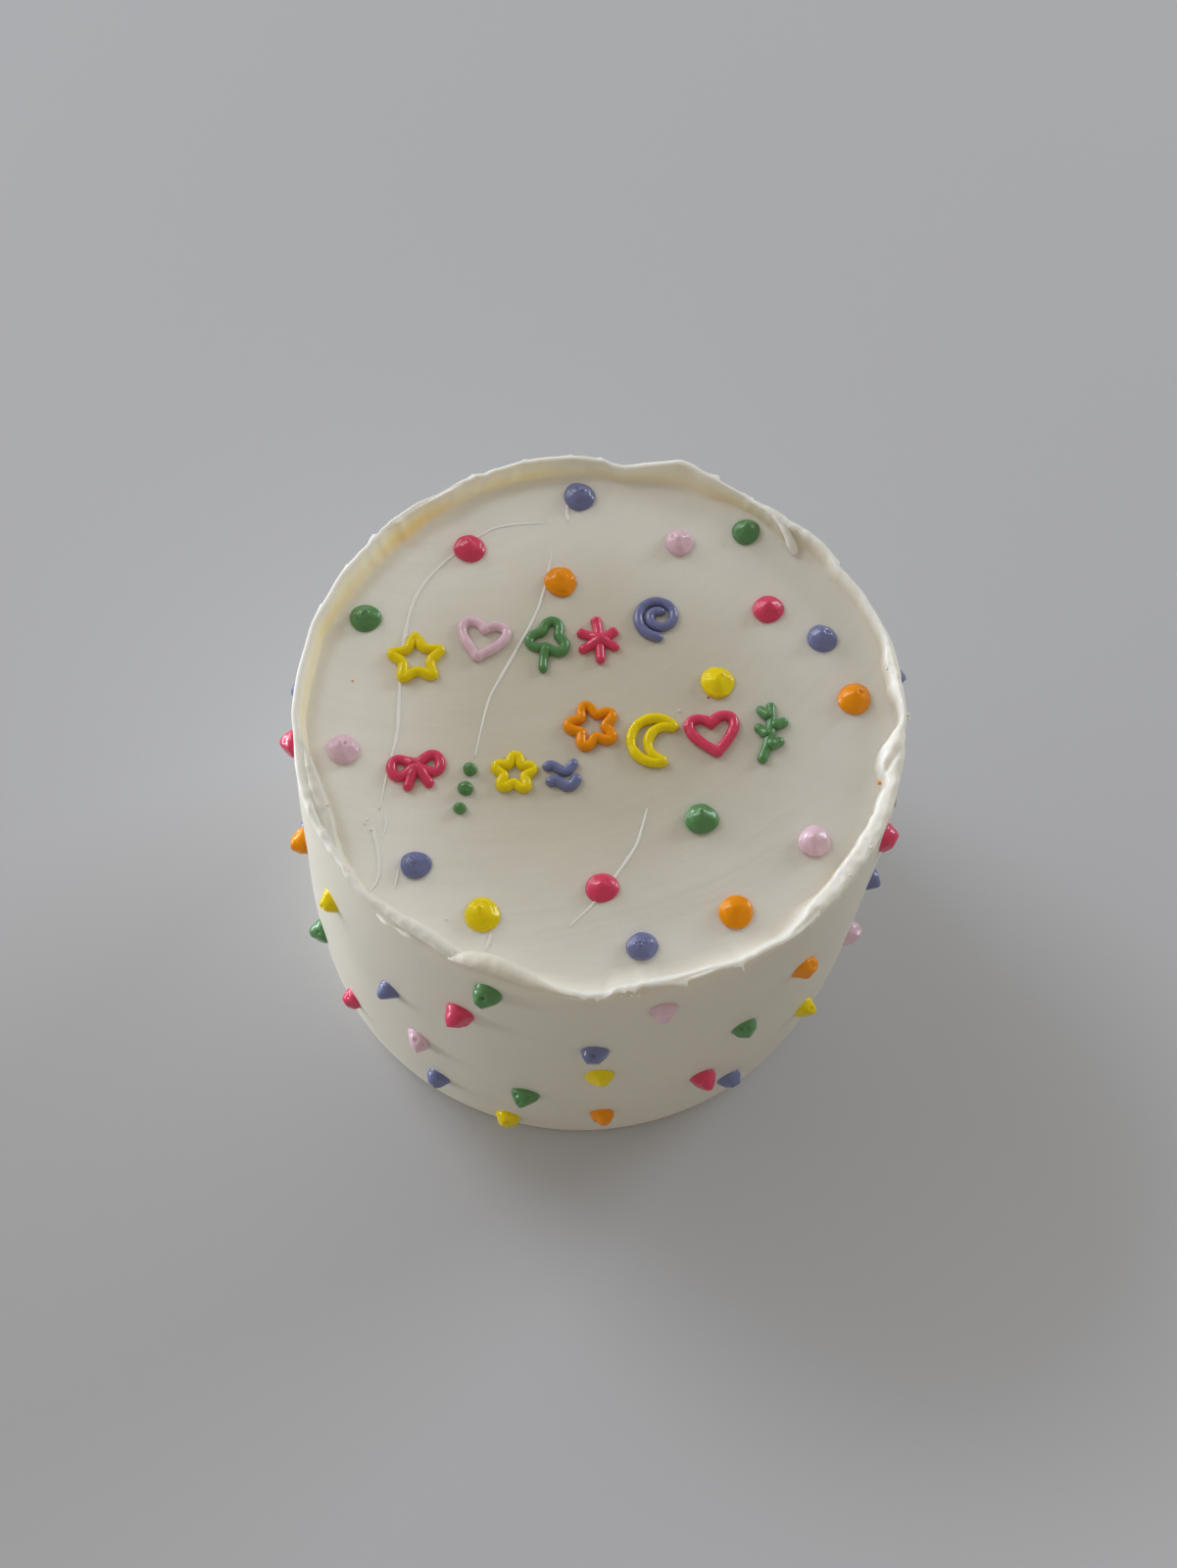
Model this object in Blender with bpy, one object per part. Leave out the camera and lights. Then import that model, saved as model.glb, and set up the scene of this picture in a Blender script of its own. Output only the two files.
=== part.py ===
# A tall round celebration cake: smooth cream with an uneven standing rim, piped dots on its top and
# side, and two rows of small piped ornaments. Metres, +Z up, origin at the centre of the flat base.

import math

import bmesh
import bpy
import numpy as np
from mathutils import Vector

MM = 0.001

# Cream body
FOOT_RADIUS = 74.3 * MM
WALL_RADIUS = 77.2 * MM
TOP_HEIGHT = 111 * MM  # the flat cream top
RIM_RADIUS = 77.6 * MM  # outer edge of the rim's crest, before its folds
RIM_RISE = 6 * MM  # the crest above the flat top
BAND_WIDTH = 2.2 * MM  # crest from its outer to its inner edge
COVE_WIDTH = 4.4 * MM  # slope from the inner edge down to the top
LEAN = 3.5 * MM  # the top's centre stands this far along +X from the foot's
AROUND = 96  # columns round the body

# Piped icing
TOP_DOT_RISE = 5 * MM
SIDE_DOT_RISE = 5.2 * MM
SIDE_DOT_WIDTH = 7.8 * MM
DOT_SINK = 1.2 * MM  # how deep a dot's foot sits in the cream
LINE_GAUGE = 2.7 * MM
LINE_SIDES = 6

# The rim's folds: middle and half spread in degrees, then mm further out, higher, band wider, cove wider.
RIM_FOLDS = (
    (87, 4.5, -1.8, -1.2, 0.5, 0.0),
    (76, 8, 2.2, 1.6, 6.0, 1.5),
    (61, 7, -1.2, -0.8, 0.0, 0.0),
    (47, 5, 0.7, 1.0, 5.5, 2.0),
    (33, 9, -1.3, -0.5, 0.0, -0.5),
    (12, 9, 0.5, 0.5, 3.4, -1.8),
    (1, 4, 0.4, 0.4, -0.6, -1.0),
    (-10, 7, 0.5, 0.0, 4.2, -1.8),
    (-30, 9, -2.0, -0.4, 2.6, 0.0),
    (-60, 16, 0.0, -0.4, 1.4, 4.0),
    (-89, 6, 0.8, -1.2, -0.4, 0.0),
    (-104, 8, -1.9, -1.0, 3.2, -2.0),
    (-104, 32, -0.9, 0.2, 0.0, 0.0),
    (-123, 5, -0.6, -0.8, 2.2, -2.0),
    (-139, 7, 0.8, 0.2, -0.8, -1.0),
    (-157, 8, 0.9, -0.4, 6.0, -1.6),
    (-175, 9, 0.5, 0.4, -0.4, -1.6),
    (141, 7, 1.1, 0.6, -0.8, 0.8),
    (129, 6, -0.9, -0.2, -0.8, 0.6),
    (104, 8, 1.4, 0.8, -0.8, 1.2),
)

# Dots on the top: colour, x and y in mm from the top's centre, width in mm.
TOP_DOTS = (
    ("blue", -8.2, 67.8, 8.5),
    ("crimson", -36.8, 49.6, 8.9),
    ("orange", -12.0, 40.5, 9.4),
    ("green", -62.6, 26.6, 8.6),
    ("pink", 19.2, 54.5, 8.0),
    ("green", 37.1, 58.9, 7.9),
    ("crimson", 43.1, 34.9, 8.4),
    ("blue", 57.4, 26.6, 8.4),
    ("yellow", 30.0, 12.1, 9.0),
    ("orange", 65.6, 9.0, 8.6),
    ("pink", -65.0, -12.4, 8.4),
    ("green", 26.6, -27.4, 8.5),
    ("pink", 54.9, -32.3, 8.1),
    ("blue", -44.1, -43.7, 8.0),
    ("crimson", 2.3, -47.7, 8.0),
    ("yellow", -26.8, -56.3, 8.8),
    ("orange", 35.5, -52.4, 8.6),
    ("blue", 12.6, -62.7, 7.9),
)

# Dots on the side that shows: colour, degrees round from +X, height in mm.
SIDE_DOTS = (
    ("blue", 172, 100),
    ("crimson", -174, 105),
    ("blue", -178, 44),
    ("orange", -166, 72),
    ("yellow", -147, 87),
    ("green", -157, 36),
    ("crimson", -143, 27.5),
    ("blue", -129.5, 74.5),
    ("pink", -122.5, 51.5),
    ("blue", -118.5, 26.5),
    ("crimson", -113.5, 87),
    ("green", -108, 105),
    ("green", -99.5, 40.5),
    ("yellow", -103, 14.5),
    ("blue", -87.5, 80),
    ("yellow", -86, 62),
    ("orange", -84, 28),
    ("pink", -76, 104),
    ("crimson", -64, 40.5),
    ("blue", -56.5, 25.5),
    ("green", -57.5, 70.5),
    ("orange", -45.5, 88.5),
    ("yellow", -39, 43),
    ("pink", -23, 54),
    ("blue", -23, 85),
    ("crimson", -20, 104),
    ("green", -3, 79),
    ("blue", 15, 104),
    ("blue", 40, 105),
)
# The side turned away goes on in the same way: first dot, step, colours in turn.
BACK_DOTS = 15
BACK_START, BACK_STEP = 26, 9.4  # degrees
BACK_LOWEST, BACK_REACH = 13, 84  # mm
BACK_COLOURS = ("yellow", "green", "pink", "crimson", "orange", "blue")

ICING_COLOURS = {
    "blue": (0.10, 0.12, 0.26),
    "crimson": (0.52, 0.025, 0.075),
    "orange": (0.80, 0.25, 0.012),
    "yellow": (0.76, 0.58, 0.010),
    "green": (0.035, 0.105, 0.040),
    "pink": (0.60, 0.36, 0.50),
}


def clear_scene():
    for old in list(bpy.data.objects):
        bpy.data.objects.remove(old)


def icing_material(name, colour, roughness):
    material = bpy.data.materials.new(name)
    material.use_nodes = True
    shader = material.node_tree.nodes["Principled BSDF"]
    shader.inputs["Base Color"].default_value = (*colour, 1)
    shader.inputs["Roughness"].default_value = roughness
    shader.inputs["Metallic"].default_value = 0
    return material


# Shape of the cream

def bell(angle, middle, spread):
    """1 at the middle and falling to 0 on both sides, the short way round the circle."""
    away = (angle - middle + 180) % 360 - 180
    return np.exp(-((away / spread) ** 2))


def rim_at(angle):
    """Crest radius, crest height, band width and cove width at an angle in degrees."""
    shape = [np.full(np.shape(angle), v) for v in (RIM_RADIUS, RIM_RISE, BAND_WIDTH, COVE_WIDTH)]
    for middle, spread, *changes in RIM_FOLDS:
        here = bell(angle, middle, spread)
        for value, change in zip(shape, changes):
            value += change * MM * here
    return shape


def wall_radius(angle, height):
    """The side: drawn in a little at the foot, upright above, with faint broad waves."""
    up = np.clip(height / (40 * MM), 0, 1)
    wave = 0.25 * MM * np.sin(np.radians(3 * angle + 40)) + 0.2 * MM * np.sin(np.radians(7 * angle))
    return FOOT_RADIUS + (WALL_RADIUS - FOOT_RADIUS) * np.sqrt(up) + wave * up


def leaning(x, y, z):
    """The whole cake leans a little, so that higher points stand further along +X."""
    return Vector((x + LEAN * z / TOP_HEIGHT, y, z))


def on_top(x, y, z=TOP_HEIGHT):
    return Vector((x + LEAN, y, z))


def rings_of_cream():
    """(radius, height) arrays for each ring, from the foot up the wall, over the rim and across the top."""
    angle = np.arange(AROUND) * 360 / AROUND
    radius, rise, band, cove = rim_at(angle)
    crest = TOP_HEIGHT + rise
    inner_edge = radius - band
    flat = np.zeros(AROUND)
    rings = [(wall_radius(angle, flat), flat)]
    for height in (3 * MM, 14 * MM, 40 * MM, 75 * MM, TOP_HEIGHT - 7 * MM):
        rings.append((wall_radius(angle, flat + height), flat + height))
    rings += [
        (radius - 0.1 * MM, crest - 4.2 * MM),
        (radius + 0.2 * MM, crest - 1.4 * MM),
        (radius - 0.5 * MM, crest),
        (radius - 0.55 * band, crest - 0.1 * band),
        (inner_edge, crest - 0.6 * MM - 0.22 * band),
        (inner_edge - 0.22 * cove, TOP_HEIGHT + 0.42 * rise),
        (inner_edge - 0.58 * cove, TOP_HEIGHT + 0.12 * rise),
        (inner_edge - cove, flat + TOP_HEIGHT),
        (flat + 0.62 * WALL_RADIUS, flat + TOP_HEIGHT),
        (flat + 0.30 * WALL_RADIUS, flat + TOP_HEIGHT),
    ]
    return angle, rings


def cream_body(material):
    angle, rings = rings_of_cream()
    mesh = bmesh.new()
    columns = []
    for radius, height in rings:
        x, y = radius * np.cos(np.radians(angle)), radius * np.sin(np.radians(angle))
        columns.append([mesh.verts.new(leaning(*point)) for point in zip(x, y, height)])
    for lower, upper in zip(columns, columns[1:]):
        join_rings(mesh, lower, upper)
    close_ring(mesh, columns[0], leaning(0, 0, 0), outward=False)
    close_ring(mesh, columns[-1], on_top(0, 0), outward=True)
    return finished("cake", mesh, material)


# Mesh helpers

def join_rings(mesh, lower, upper):
    """A band of triangles between two closed rings of as many points."""
    count = len(lower)
    for i in range(count):
        j = (i + 1) % count
        mesh.faces.new((lower[i], lower[j], upper[j]))
        mesh.faces.new((lower[i], upper[j], upper[i]))


def close_ring(mesh, ring, centre, outward):
    """A fan from a ring to one point: outward closes the far end, and otherwise the near end."""
    hub = mesh.verts.new(centre)
    for i, corner in enumerate(ring):
        after = ring[(i + 1) % len(ring)]
        mesh.faces.new((corner, after, hub) if outward else (after, corner, hub))


def finished(name, mesh, material):
    data = bpy.data.meshes.new(name)
    bmesh.ops.recalc_face_normals(mesh, faces=mesh.faces)
    mesh.to_mesh(data)
    mesh.free()
    data.materials.append(material)
    return bpy.data.objects.new(name, data)


# Piped dots

TOP_DOT_PROFILE = ((0.88, -1.0), (1.0, 0.16), (0.90, 0.50), (0.52, 0.83))  # radius share, rise share
SIDE_DOT_PROFILE = ((0.92, -1.0), (1.0, 0.14), (0.74, 0.50), (0.34, 0.80))


def piped_dot(name, foot, outward, width, rise, profile, sides, droop, material):
    """A dollop turned round its axis, with its foot sunk in the cream and its tip drawn aside by droop."""
    across = outward.orthogonal().normalized()
    along = outward.cross(across)
    mesh = bmesh.new()
    rings = []
    for share, level in profile:
        height = level * (DOT_SINK if level < 0 else rise)
        middle = foot + outward * height + droop * max(level, 0) ** 2
        ring = []
        for i in range(sides):
            turn = math.tau * i / sides
            offset = across * math.cos(turn) + along * math.sin(turn)
            ring.append(mesh.verts.new(middle + offset * (share * width / 2)))
        rings.append(ring)
    for lower, upper in zip(rings, rings[1:]):
        join_rings(mesh, lower, upper)
    close_ring(mesh, rings[0], foot - outward * DOT_SINK, outward=False)
    close_ring(mesh, rings[-1], foot + outward * rise + droop, outward=True)
    return finished(name, mesh, material)


def top_dots(icing):
    dots = []
    for i, (colour, x, y, width) in enumerate(TOP_DOTS):
        turn = 2.4 * i
        droop = Vector((math.cos(turn), math.sin(turn), 0)) * 0.8 * MM
        dots.append(piped_dot(f"top_dot_{i}", on_top(x * MM, y * MM), Vector((0, 0, 1)), width * MM,
                              TOP_DOT_RISE, TOP_DOT_PROFILE, 10, droop, icing[colour]))
    return dots


def back_dots():
    """Angles step evenly round the hidden side, and heights by the golden ratio, so that none crowd."""
    for i in range(BACK_DOTS):
        height = BACK_LOWEST + BACK_REACH * ((0.31 + 0.618 * i) % 1)
        yield BACK_COLOURS[i % len(BACK_COLOURS)], BACK_START + BACK_STEP * i, height


def side_dots(icing):
    dots = []
    for i, (colour, angle, height) in enumerate((*SIDE_DOTS, *back_dots())):
        turn = math.radians(angle)
        outward = Vector((math.cos(turn), math.sin(turn), 0))
        radius = float(wall_radius(angle, height * MM))
        foot = leaning(*(outward * radius).xy, height * MM)
        droop = Vector((0, 0, -1)) * (0.8 + 0.4 * math.sin(2.1 * i)) * MM
        dots.append(piped_dot(f"side_dot_{i}", foot, outward, SIDE_DOT_WIDTH, SIDE_DOT_RISE,
                              SIDE_DOT_PROFILE, 8, droop, icing[colour]))
    return dots


# Piped ornaments: each path is a list of (x, y) about its own middle, in shares of half its height

def curve(count, path, start=0.0, end=1.0):
    return [path(start + (end - start) * i / (count - 1)) for i in range(count)]


def loop(count, path):
    return [path(i / count) for i in range(count)]


def star(points=5, inner=0.46):
    def corner(i):
        reach = inner if i % 2 else 1.0
        turn = math.pi / 2 + math.pi * i / points
        return reach * math.cos(turn), reach * math.sin(turn)
    return [corner(i) for i in range(2 * points)]


def heart(t):
    turn = math.tau * t
    x = math.sin(turn) ** 3
    y = 0.82 * math.cos(turn) - 0.34 * math.cos(2 * turn) - 0.13 * math.cos(3 * turn) + 0.1
    return x, y


def flower(t, petals=5, depth=0.26):
    turn = math.tau * t
    reach = 0.78 + depth * math.cos(petals * turn)
    return reach * math.sin(turn), reach * math.cos(turn)


def clover(t):
    turn = math.tau * t
    reach = 0.50 + 0.17 * math.cos(3 * turn)
    return reach * math.sin(turn), 0.36 + reach * math.cos(turn)


def burst_arm(turn, reach=1.0):
    x, y = reach * math.sin(math.radians(turn)), reach * math.cos(math.radians(turn))
    return [(x, y), (0.04 * y, -0.04 * x), (-x, -y)]


def spiral(t):
    turn = 1.75 * math.tau * t
    reach = 0.14 + 0.76 * t
    return reach * math.cos(turn), reach * math.sin(turn)


def bow(t):
    turn = math.tau * t
    return 0.98 * math.sin(turn), 0.78 * math.sin(turn) * math.cos(turn) + 0.2


def ripple(t, y):
    return 1.7 * (t - 0.5), y + 0.24 * math.sin(2.5 * math.pi * t)


def crescent(t, reach=0.92, tip=math.radians(50), shift=0.45):
    """Out along a wide arc and back along a narrower one that is shifted aside, through the same two tips."""
    tip_x, tip_y = reach * math.cos(tip) - shift, reach * math.sin(tip)
    if t < 0.5:
        turn = tip + (math.tau - 2 * tip) * 2 * t
        return reach * math.cos(turn), reach * math.sin(turn)
    inner, start = math.hypot(tip_x, tip_y), math.atan2(tip_y, tip_x)
    turn = start + (math.tau - 2 * start) * 2 * (1 - t)
    return shift + inner * math.cos(turn), inner * math.sin(turn)


def stem(t):
    return 0.12 * math.sin(math.pi * t), 1.9 * (0.5 - t)


def twig(side, y):
    x = 0.12 * math.sin(math.pi * (0.5 - y / 1.9))
    return [(x, y), (x + side * 0.22, y + 0.12), (x + side * 0.42, y + 0.30)]


# Each ornament: colour, x, y and half height in mm, turn in degrees, closed paths, open paths.
ORNAMENTS = (
    ("yellow", -48.4, 15.1, 7.4, 8, [star()], []),
    ("pink", -31.7, 21.7, 6.0, -10, [loop(16, heart)], []),
    ("green", -14.9, 20.2, 8.0, -12, [loop(15, clover)], [[(0.0, 0.0), (0.04, -0.5), (0.16, -0.95)]]),
    ("crimson", -1.4, 23.0, 7.2, 8, [], [burst_arm(0), burst_arm(62, 0.86), burst_arm(-60, 0.86)]),
    ("blue", 14.3, 31.0, 7.2, 20, [], [curve(16, spiral)]),
    ("crimson", -45.9, -17.4, 6.4, 12, [],
     [curve(9, bow, 0.0, 0.5), curve(9, bow, 0.5, 1.0), [(0, 0.2), (-0.25, -0.3), (-0.55, -0.85)],
      [(0, 0.2), (0.25, -0.3), (0.5, -0.85)]]),
    ("yellow", -21.1, -16.9, 5.0, 0, [loop(15, flower)], []),
    ("blue", -8.7, -17.0, 5.2, 14, [],
     [curve(7, lambda t: ripple(t, 0.42)), curve(7, lambda t: ripple(t, -0.42))]),
    ("orange", -2.0, -2.4, 6.2, 20, [loop(20, flower)], []),
    ("yellow", 14.4, -5.8, 7.0, -14, [loop(16, crescent)], []),
    ("crimson", 29.2, -3.1, 6.0, 12, [loop(16, heart)], []),
    ("green", 42.6, -2.1, 9.6, -8, [],
     [curve(7, stem)] + [twig(side, y) for side, y in ((-1, 0.45), (1, 0.2), (-1, -0.1), (1, -0.4))]),
)
# Small dots: the knot of the bow, and a column between the ornaments. Colour, x, y and width in mm.
SMALL_DOTS = (
    ("crimson", -46.2, -16.1, 4.4),
    ("green", -32.4, -16.4, 3.6),
    ("green", -33.2, -21.8, 3.9),
    ("green", -34.2, -27.4, 3.2),
)
SMALL_DOT_RISE = 2.4 * MM


def piped_line(name, points, closed, material):
    """A round bead of icing along points that lie on the top, half sunk, with blunt rounded ends."""
    radius = LINE_GAUGE / 2
    level = TOP_HEIGHT + 0.42 * radius
    count = len(points)
    mesh = bmesh.new()
    rings = []
    for i, (x, y) in enumerate(points):
        before = points[i - 1] if closed or i else points[i]
        after = points[(i + 1) % count] if closed or i < count - 1 else points[i]
        ahead = Vector((after[0] - before[0], after[1] - before[1], 0)).normalized()
        side = Vector((ahead.y, -ahead.x, 0))
        slim = 1.0 if closed or 0 < i < count - 1 else 0.82
        ring = []
        for k in range(LINE_SIDES):
            turn = math.tau * (k + 0.5) / LINE_SIDES
            offset = side * math.cos(turn) + Vector((0, 0, 1)) * math.sin(turn)
            ring.append(mesh.verts.new(on_top(x, y, level) + offset * radius * slim))
        rings.append(ring)
    for first, second in zip(rings, rings[1:]):
        join_rings(mesh, first, second)
    if closed:
        join_rings(mesh, rings[-1], rings[0])
    else:
        for ring, (x, y), (x2, y2) in ((rings[0], *points[:2]), (rings[-1], *points[:-3:-1])):
            outward = Vector((x - x2, y - y2, 0)).normalized()
            close_ring(mesh, ring, on_top(x, y, level) + outward * radius * 0.7, outward=ring is rings[-1])
    return finished(name, mesh, material)


def ornaments(icing):
    lines = []
    for i, (colour, x, y, half, turned, loops, strokes) in enumerate(ORNAMENTS):
        turn = math.radians(turned)
        for j, path in enumerate(loops + strokes):
            points = []
            for u, v in path:
                across = u * math.cos(turn) - v * math.sin(turn)
                along = u * math.sin(turn) + v * math.cos(turn)
                points.append(((x + half * across) * MM, (y + half * along) * MM))
            lines.append(piped_line(f"line_{i}_{j}", points, j < len(loops), icing[colour]))
    for i, (colour, x, y, width) in enumerate(SMALL_DOTS):
        lines.append(piped_dot(f"small_dot_{i}", on_top(x * MM, y * MM), Vector((0, 0, 1)), width * MM,
                               SMALL_DOT_RISE, TOP_DOT_PROFILE, 8, Vector(), icing[colour]))
    return lines


def fuse(body, pieces):
    """One Boolean union of the body with every piece, applied, and the pieces removed."""
    group = bpy.data.collections.new("icing")
    bpy.context.scene.collection.children.link(group)
    for piece in pieces:
        group.objects.link(piece)
    union = body.modifiers.new("icing", "BOOLEAN")
    union.operation = "UNION"
    union.operand_type = "COLLECTION"
    union.collection = group
    union.solver = "MANIFOLD"
    union.material_mode = "TRANSFER"
    bpy.context.view_layer.objects.active = body
    bpy.ops.object.modifier_apply(modifier=union.name)
    for piece in pieces:
        bpy.data.objects.remove(piece)
    bpy.data.collections.remove(group)


def build():
    clear_scene()
    cream = icing_material("cream", (0.80, 0.74, 0.61), 0.42)
    icing = {name: icing_material(f"icing_{name}", colour, 0.3) for name, colour in ICING_COLOURS.items()}
    cake = cream_body(cream)
    bpy.context.scene.collection.objects.link(cake)
    fuse(cake, top_dots(icing) + side_dots(icing) + ornaments(icing))
    cake.data.shade_smooth()
    cake.data.set_sharp_from_angle(angle=math.radians(50))


build()
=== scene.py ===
from itertools import product

import bpy
import numpy as np
from mathutils import Matrix, Vector


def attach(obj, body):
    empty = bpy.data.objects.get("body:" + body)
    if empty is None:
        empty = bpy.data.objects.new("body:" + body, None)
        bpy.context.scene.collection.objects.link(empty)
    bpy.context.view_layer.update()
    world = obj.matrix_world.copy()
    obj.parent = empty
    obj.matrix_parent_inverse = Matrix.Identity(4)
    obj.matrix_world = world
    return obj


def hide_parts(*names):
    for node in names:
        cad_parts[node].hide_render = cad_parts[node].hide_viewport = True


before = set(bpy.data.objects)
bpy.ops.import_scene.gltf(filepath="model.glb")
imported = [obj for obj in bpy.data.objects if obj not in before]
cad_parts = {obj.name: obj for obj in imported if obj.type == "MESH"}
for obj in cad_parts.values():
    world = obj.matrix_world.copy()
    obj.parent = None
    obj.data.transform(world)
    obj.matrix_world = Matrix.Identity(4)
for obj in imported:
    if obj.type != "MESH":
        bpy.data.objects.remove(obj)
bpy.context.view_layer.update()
mm = 0.001
tau = 2 * np.pi
# where the random draws of each kind of piece start
seeds = {"folds": 50, "specks": 60, "ridges": 70, "dots": 77, "topDots": 100, "sideDots": 200, "beads": 300,
         "smallDots": 500}
print("frame loaded")


# Shader sockets as values

class Link:
    # A shader socket: sums, differences and products of links and numbers add Math nodes
    def __init__(self, tree, socket=None):
        self.tree = tree
        self.socket = socket

    def node(self, kind, settings=None, inputs=None, output=0):
        # Adds a node of this kind: settings first, then a value or a link for each named socket
        made = self.tree.nodes.new("ShaderNode" + kind)
        for name, value in (settings or {}).items():
            setattr(made, name, value)
        for name, value in (inputs or {}).items():
            if isinstance(value, Link):
                self.tree.links.new(value.socket, made.inputs[name])
            else:
                made.inputs[name].default_value = value
        return Link(self.tree, made.outputs[output])

    def math(self, operation, first, second):
        # One Math node on two numbers or links
        return self.node("Math", {"operation": operation}, {0: first, 1: second})

    def mix(self, factor, first, second, blend="MIX"):
        # The first colour at factor 0, running to the second at factor 1
        settings = {"data_type": "RGBA", "blend_type": blend}
        return self.node("Mix", settings, {0: factor, 6: first, 7: second}, 2)

    def __add__(self, other):
        return self.math("ADD", self, other)

    def __radd__(self, other):
        return self.math("ADD", other, self)

    def __sub__(self, other):
        return self.math("SUBTRACT", self, other)

    def __rsub__(self, other):
        return self.math("SUBTRACT", other, self)

    def __mul__(self, other):
        return self.math("MULTIPLY", self, other)

    def __rmul__(self, other):
        return self.math("MULTIPLY", other, self)


def newFinish(name, fixed):
    # A material with its shader's fixed sockets set, and a link that adds nodes to it
    material = bpy.data.materials.new(name)
    material.use_nodes = True
    shader = material.node_tree.nodes["Principled BSDF"]
    for socket, value in fixed.items():
        shader.inputs[socket].default_value = value
    return material, shader, Link(material.node_tree)


def connect(link, shader, socket):
    # Feeds one of the shader's sockets
    link.tree.links.new(link.socket, shader.inputs[socket])


def noise(link, place, scale, detail, distortion=0.0):
    # Soft clouds from 0 to 1, with this many in a metre
    return link.node("TexNoise", {}, {
        "Vector": place, "Scale": scale, "Detail": detail, "Distortion": distortion})


def span(link, value, low, high, atLow, atHigh, curve="SMOOTHSTEP"):
    # Runs from one number to another while the value runs from low to high
    return link.node("MapRange", {"interpolation_type": curve}, {
        "Value": value, "From Min": low, "From Max": high, "To Min": atLow, "To Max": atHigh})


# Shape helpers

def awayFrom(angle, middle):
    # Degrees from the middle, the short way round the circle
    return (angle - middle + 180) % 360 - 180


def bell(angle, middle, spread):
    # 1 at the middle, falling to 0 on both sides
    return np.exp(-((awayFrom(angle, middle) / spread) ** 2))


def bells(angle, places):
    # One bell for each place: its middle and half spread in degrees, and its strength
    return np.array([strength * bell(angle, middle, spread) for middle, spread, strength in places])


def waver(angle, seed, fewest, most):
    # Sine waves round the cake, from the fewest to the most in a turn, each with a random size and start
    draw = np.random.default_rng(seed)
    turns = np.arange(fewest, most + 1)
    size = draw.uniform(0.3, 1, len(turns)) * (fewest / turns) ** 0.5
    start = draw.uniform(0, tau, len(turns))
    waves = np.sin(np.radians(angle)[..., None] * turns + start) * size
    return waves.sum(-1) / np.sqrt((size ** 2).sum())


def lumps(points, spacing, seed):
    # Smooth noise from -1 to 1: random numbers on a lattice with this spacing, blended with a soft step
    cells = 32
    table = np.random.default_rng(seed).uniform(-1, 1, (cells, cells, cells))
    place = points / spacing
    cell = np.floor(place).astype(int)
    part = place - cell
    part = part * part * (3 - 2 * part)
    total = np.zeros(points.shape[:-1])
    for corner in product((0, 1), repeat=3):
        share = np.prod(np.where(corner, part, 1 - part), axis=-1)
        at = (cell + corner) % cells
        total += share * table[at[..., 0], at[..., 1], at[..., 2]]
    return total


def layered(points, layers, seed):
    # Lumps upon lumps: each layer has a height, a spacing and what it adds to the seed
    return sum(height * lumps(points, spacing, seed + more) for height, spacing, more in layers)


def smoothThrough(stations, count):
    # A smooth curve through the stations (first axis): cubic pieces whose slopes come from their neighbours
    stations = np.asarray(stations, float)
    ends = np.concatenate([2 * stations[:1] - stations[1:2], stations, 2 * stations[-1:] - stations[-2:-1]])
    t = np.linspace(0, len(stations) - 1, count)
    k = np.minimum(t.astype(int), len(stations) - 2)
    u = (t - k).reshape((-1,) + (1,) * (stations.ndim - 1))
    before, start, end, after = (ends[k + i] for i in range(4))
    bend = 3 * (start - end) + after - before
    return start + 0.5 * u * (end - before + u * (2 * before - 5 * start + 4 * end - after + u * bend))


def unit(vectors):
    # The same directions with length 1
    return vectors / np.maximum(np.linalg.norm(vectors, axis=-1, keepdims=True), 1e-12)


def fullTurn(count):
    # Even steps round a circle, in radians
    return np.arange(count) * tau / count


def turned(radius, angle, height):
    # Radius, angle in degrees and height as points: cosine and sine of the angle times the radius
    radius, angle, height = np.broadcast_arrays(radius, angle, height)
    return np.stack([radius * np.cos(np.radians(angle)), radius * np.sin(np.radians(angle)), height], -1)


def underTriangles(corners):
    # Six times the volume between the origin and these triangles, above 0 where they face away from it
    return np.einsum("ij,ij->i", corners[:, 0], np.cross(corners[:, 1], corners[:, 2])).sum()


def skin(rings, first=None, last=None):
    # Closed rings of points (ring, place, xyz) joined by squares; the ends run to a pole, or meet each other
    rows, count = rings.shape[:2]
    points = rings.reshape(-1, 3)
    looped = first is None
    row = np.arange(rows if looped else rows - 1)[:, None] * count
    place = np.arange(count)
    after = (place + 1) % count
    above = (row + count) % (rows * count)
    squares = np.stack([row + place, row + after, above + after, above + place], -1).reshape(-1, 4)
    fans = np.zeros((0, 3), int)
    if not looped:
        points = np.concatenate([points, [first, last]])
        firstPole = np.full(count, rows * count)
        end = (rows - 1) * count
        fans = np.concatenate([
            np.stack([after, place, firstPole], -1),
            np.stack([end + place, end + after, firstPole + 1], -1),
        ])
    volume = sum(underTriangles(points[faces]) for faces in (squares[:, :3], squares[:, [0, 2, 3]], fans))
    if volume < 0:  # faces point outwards
        squares, fans = squares[:, ::-1], fans[:, ::-1]
    return points, squares, fans


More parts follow.
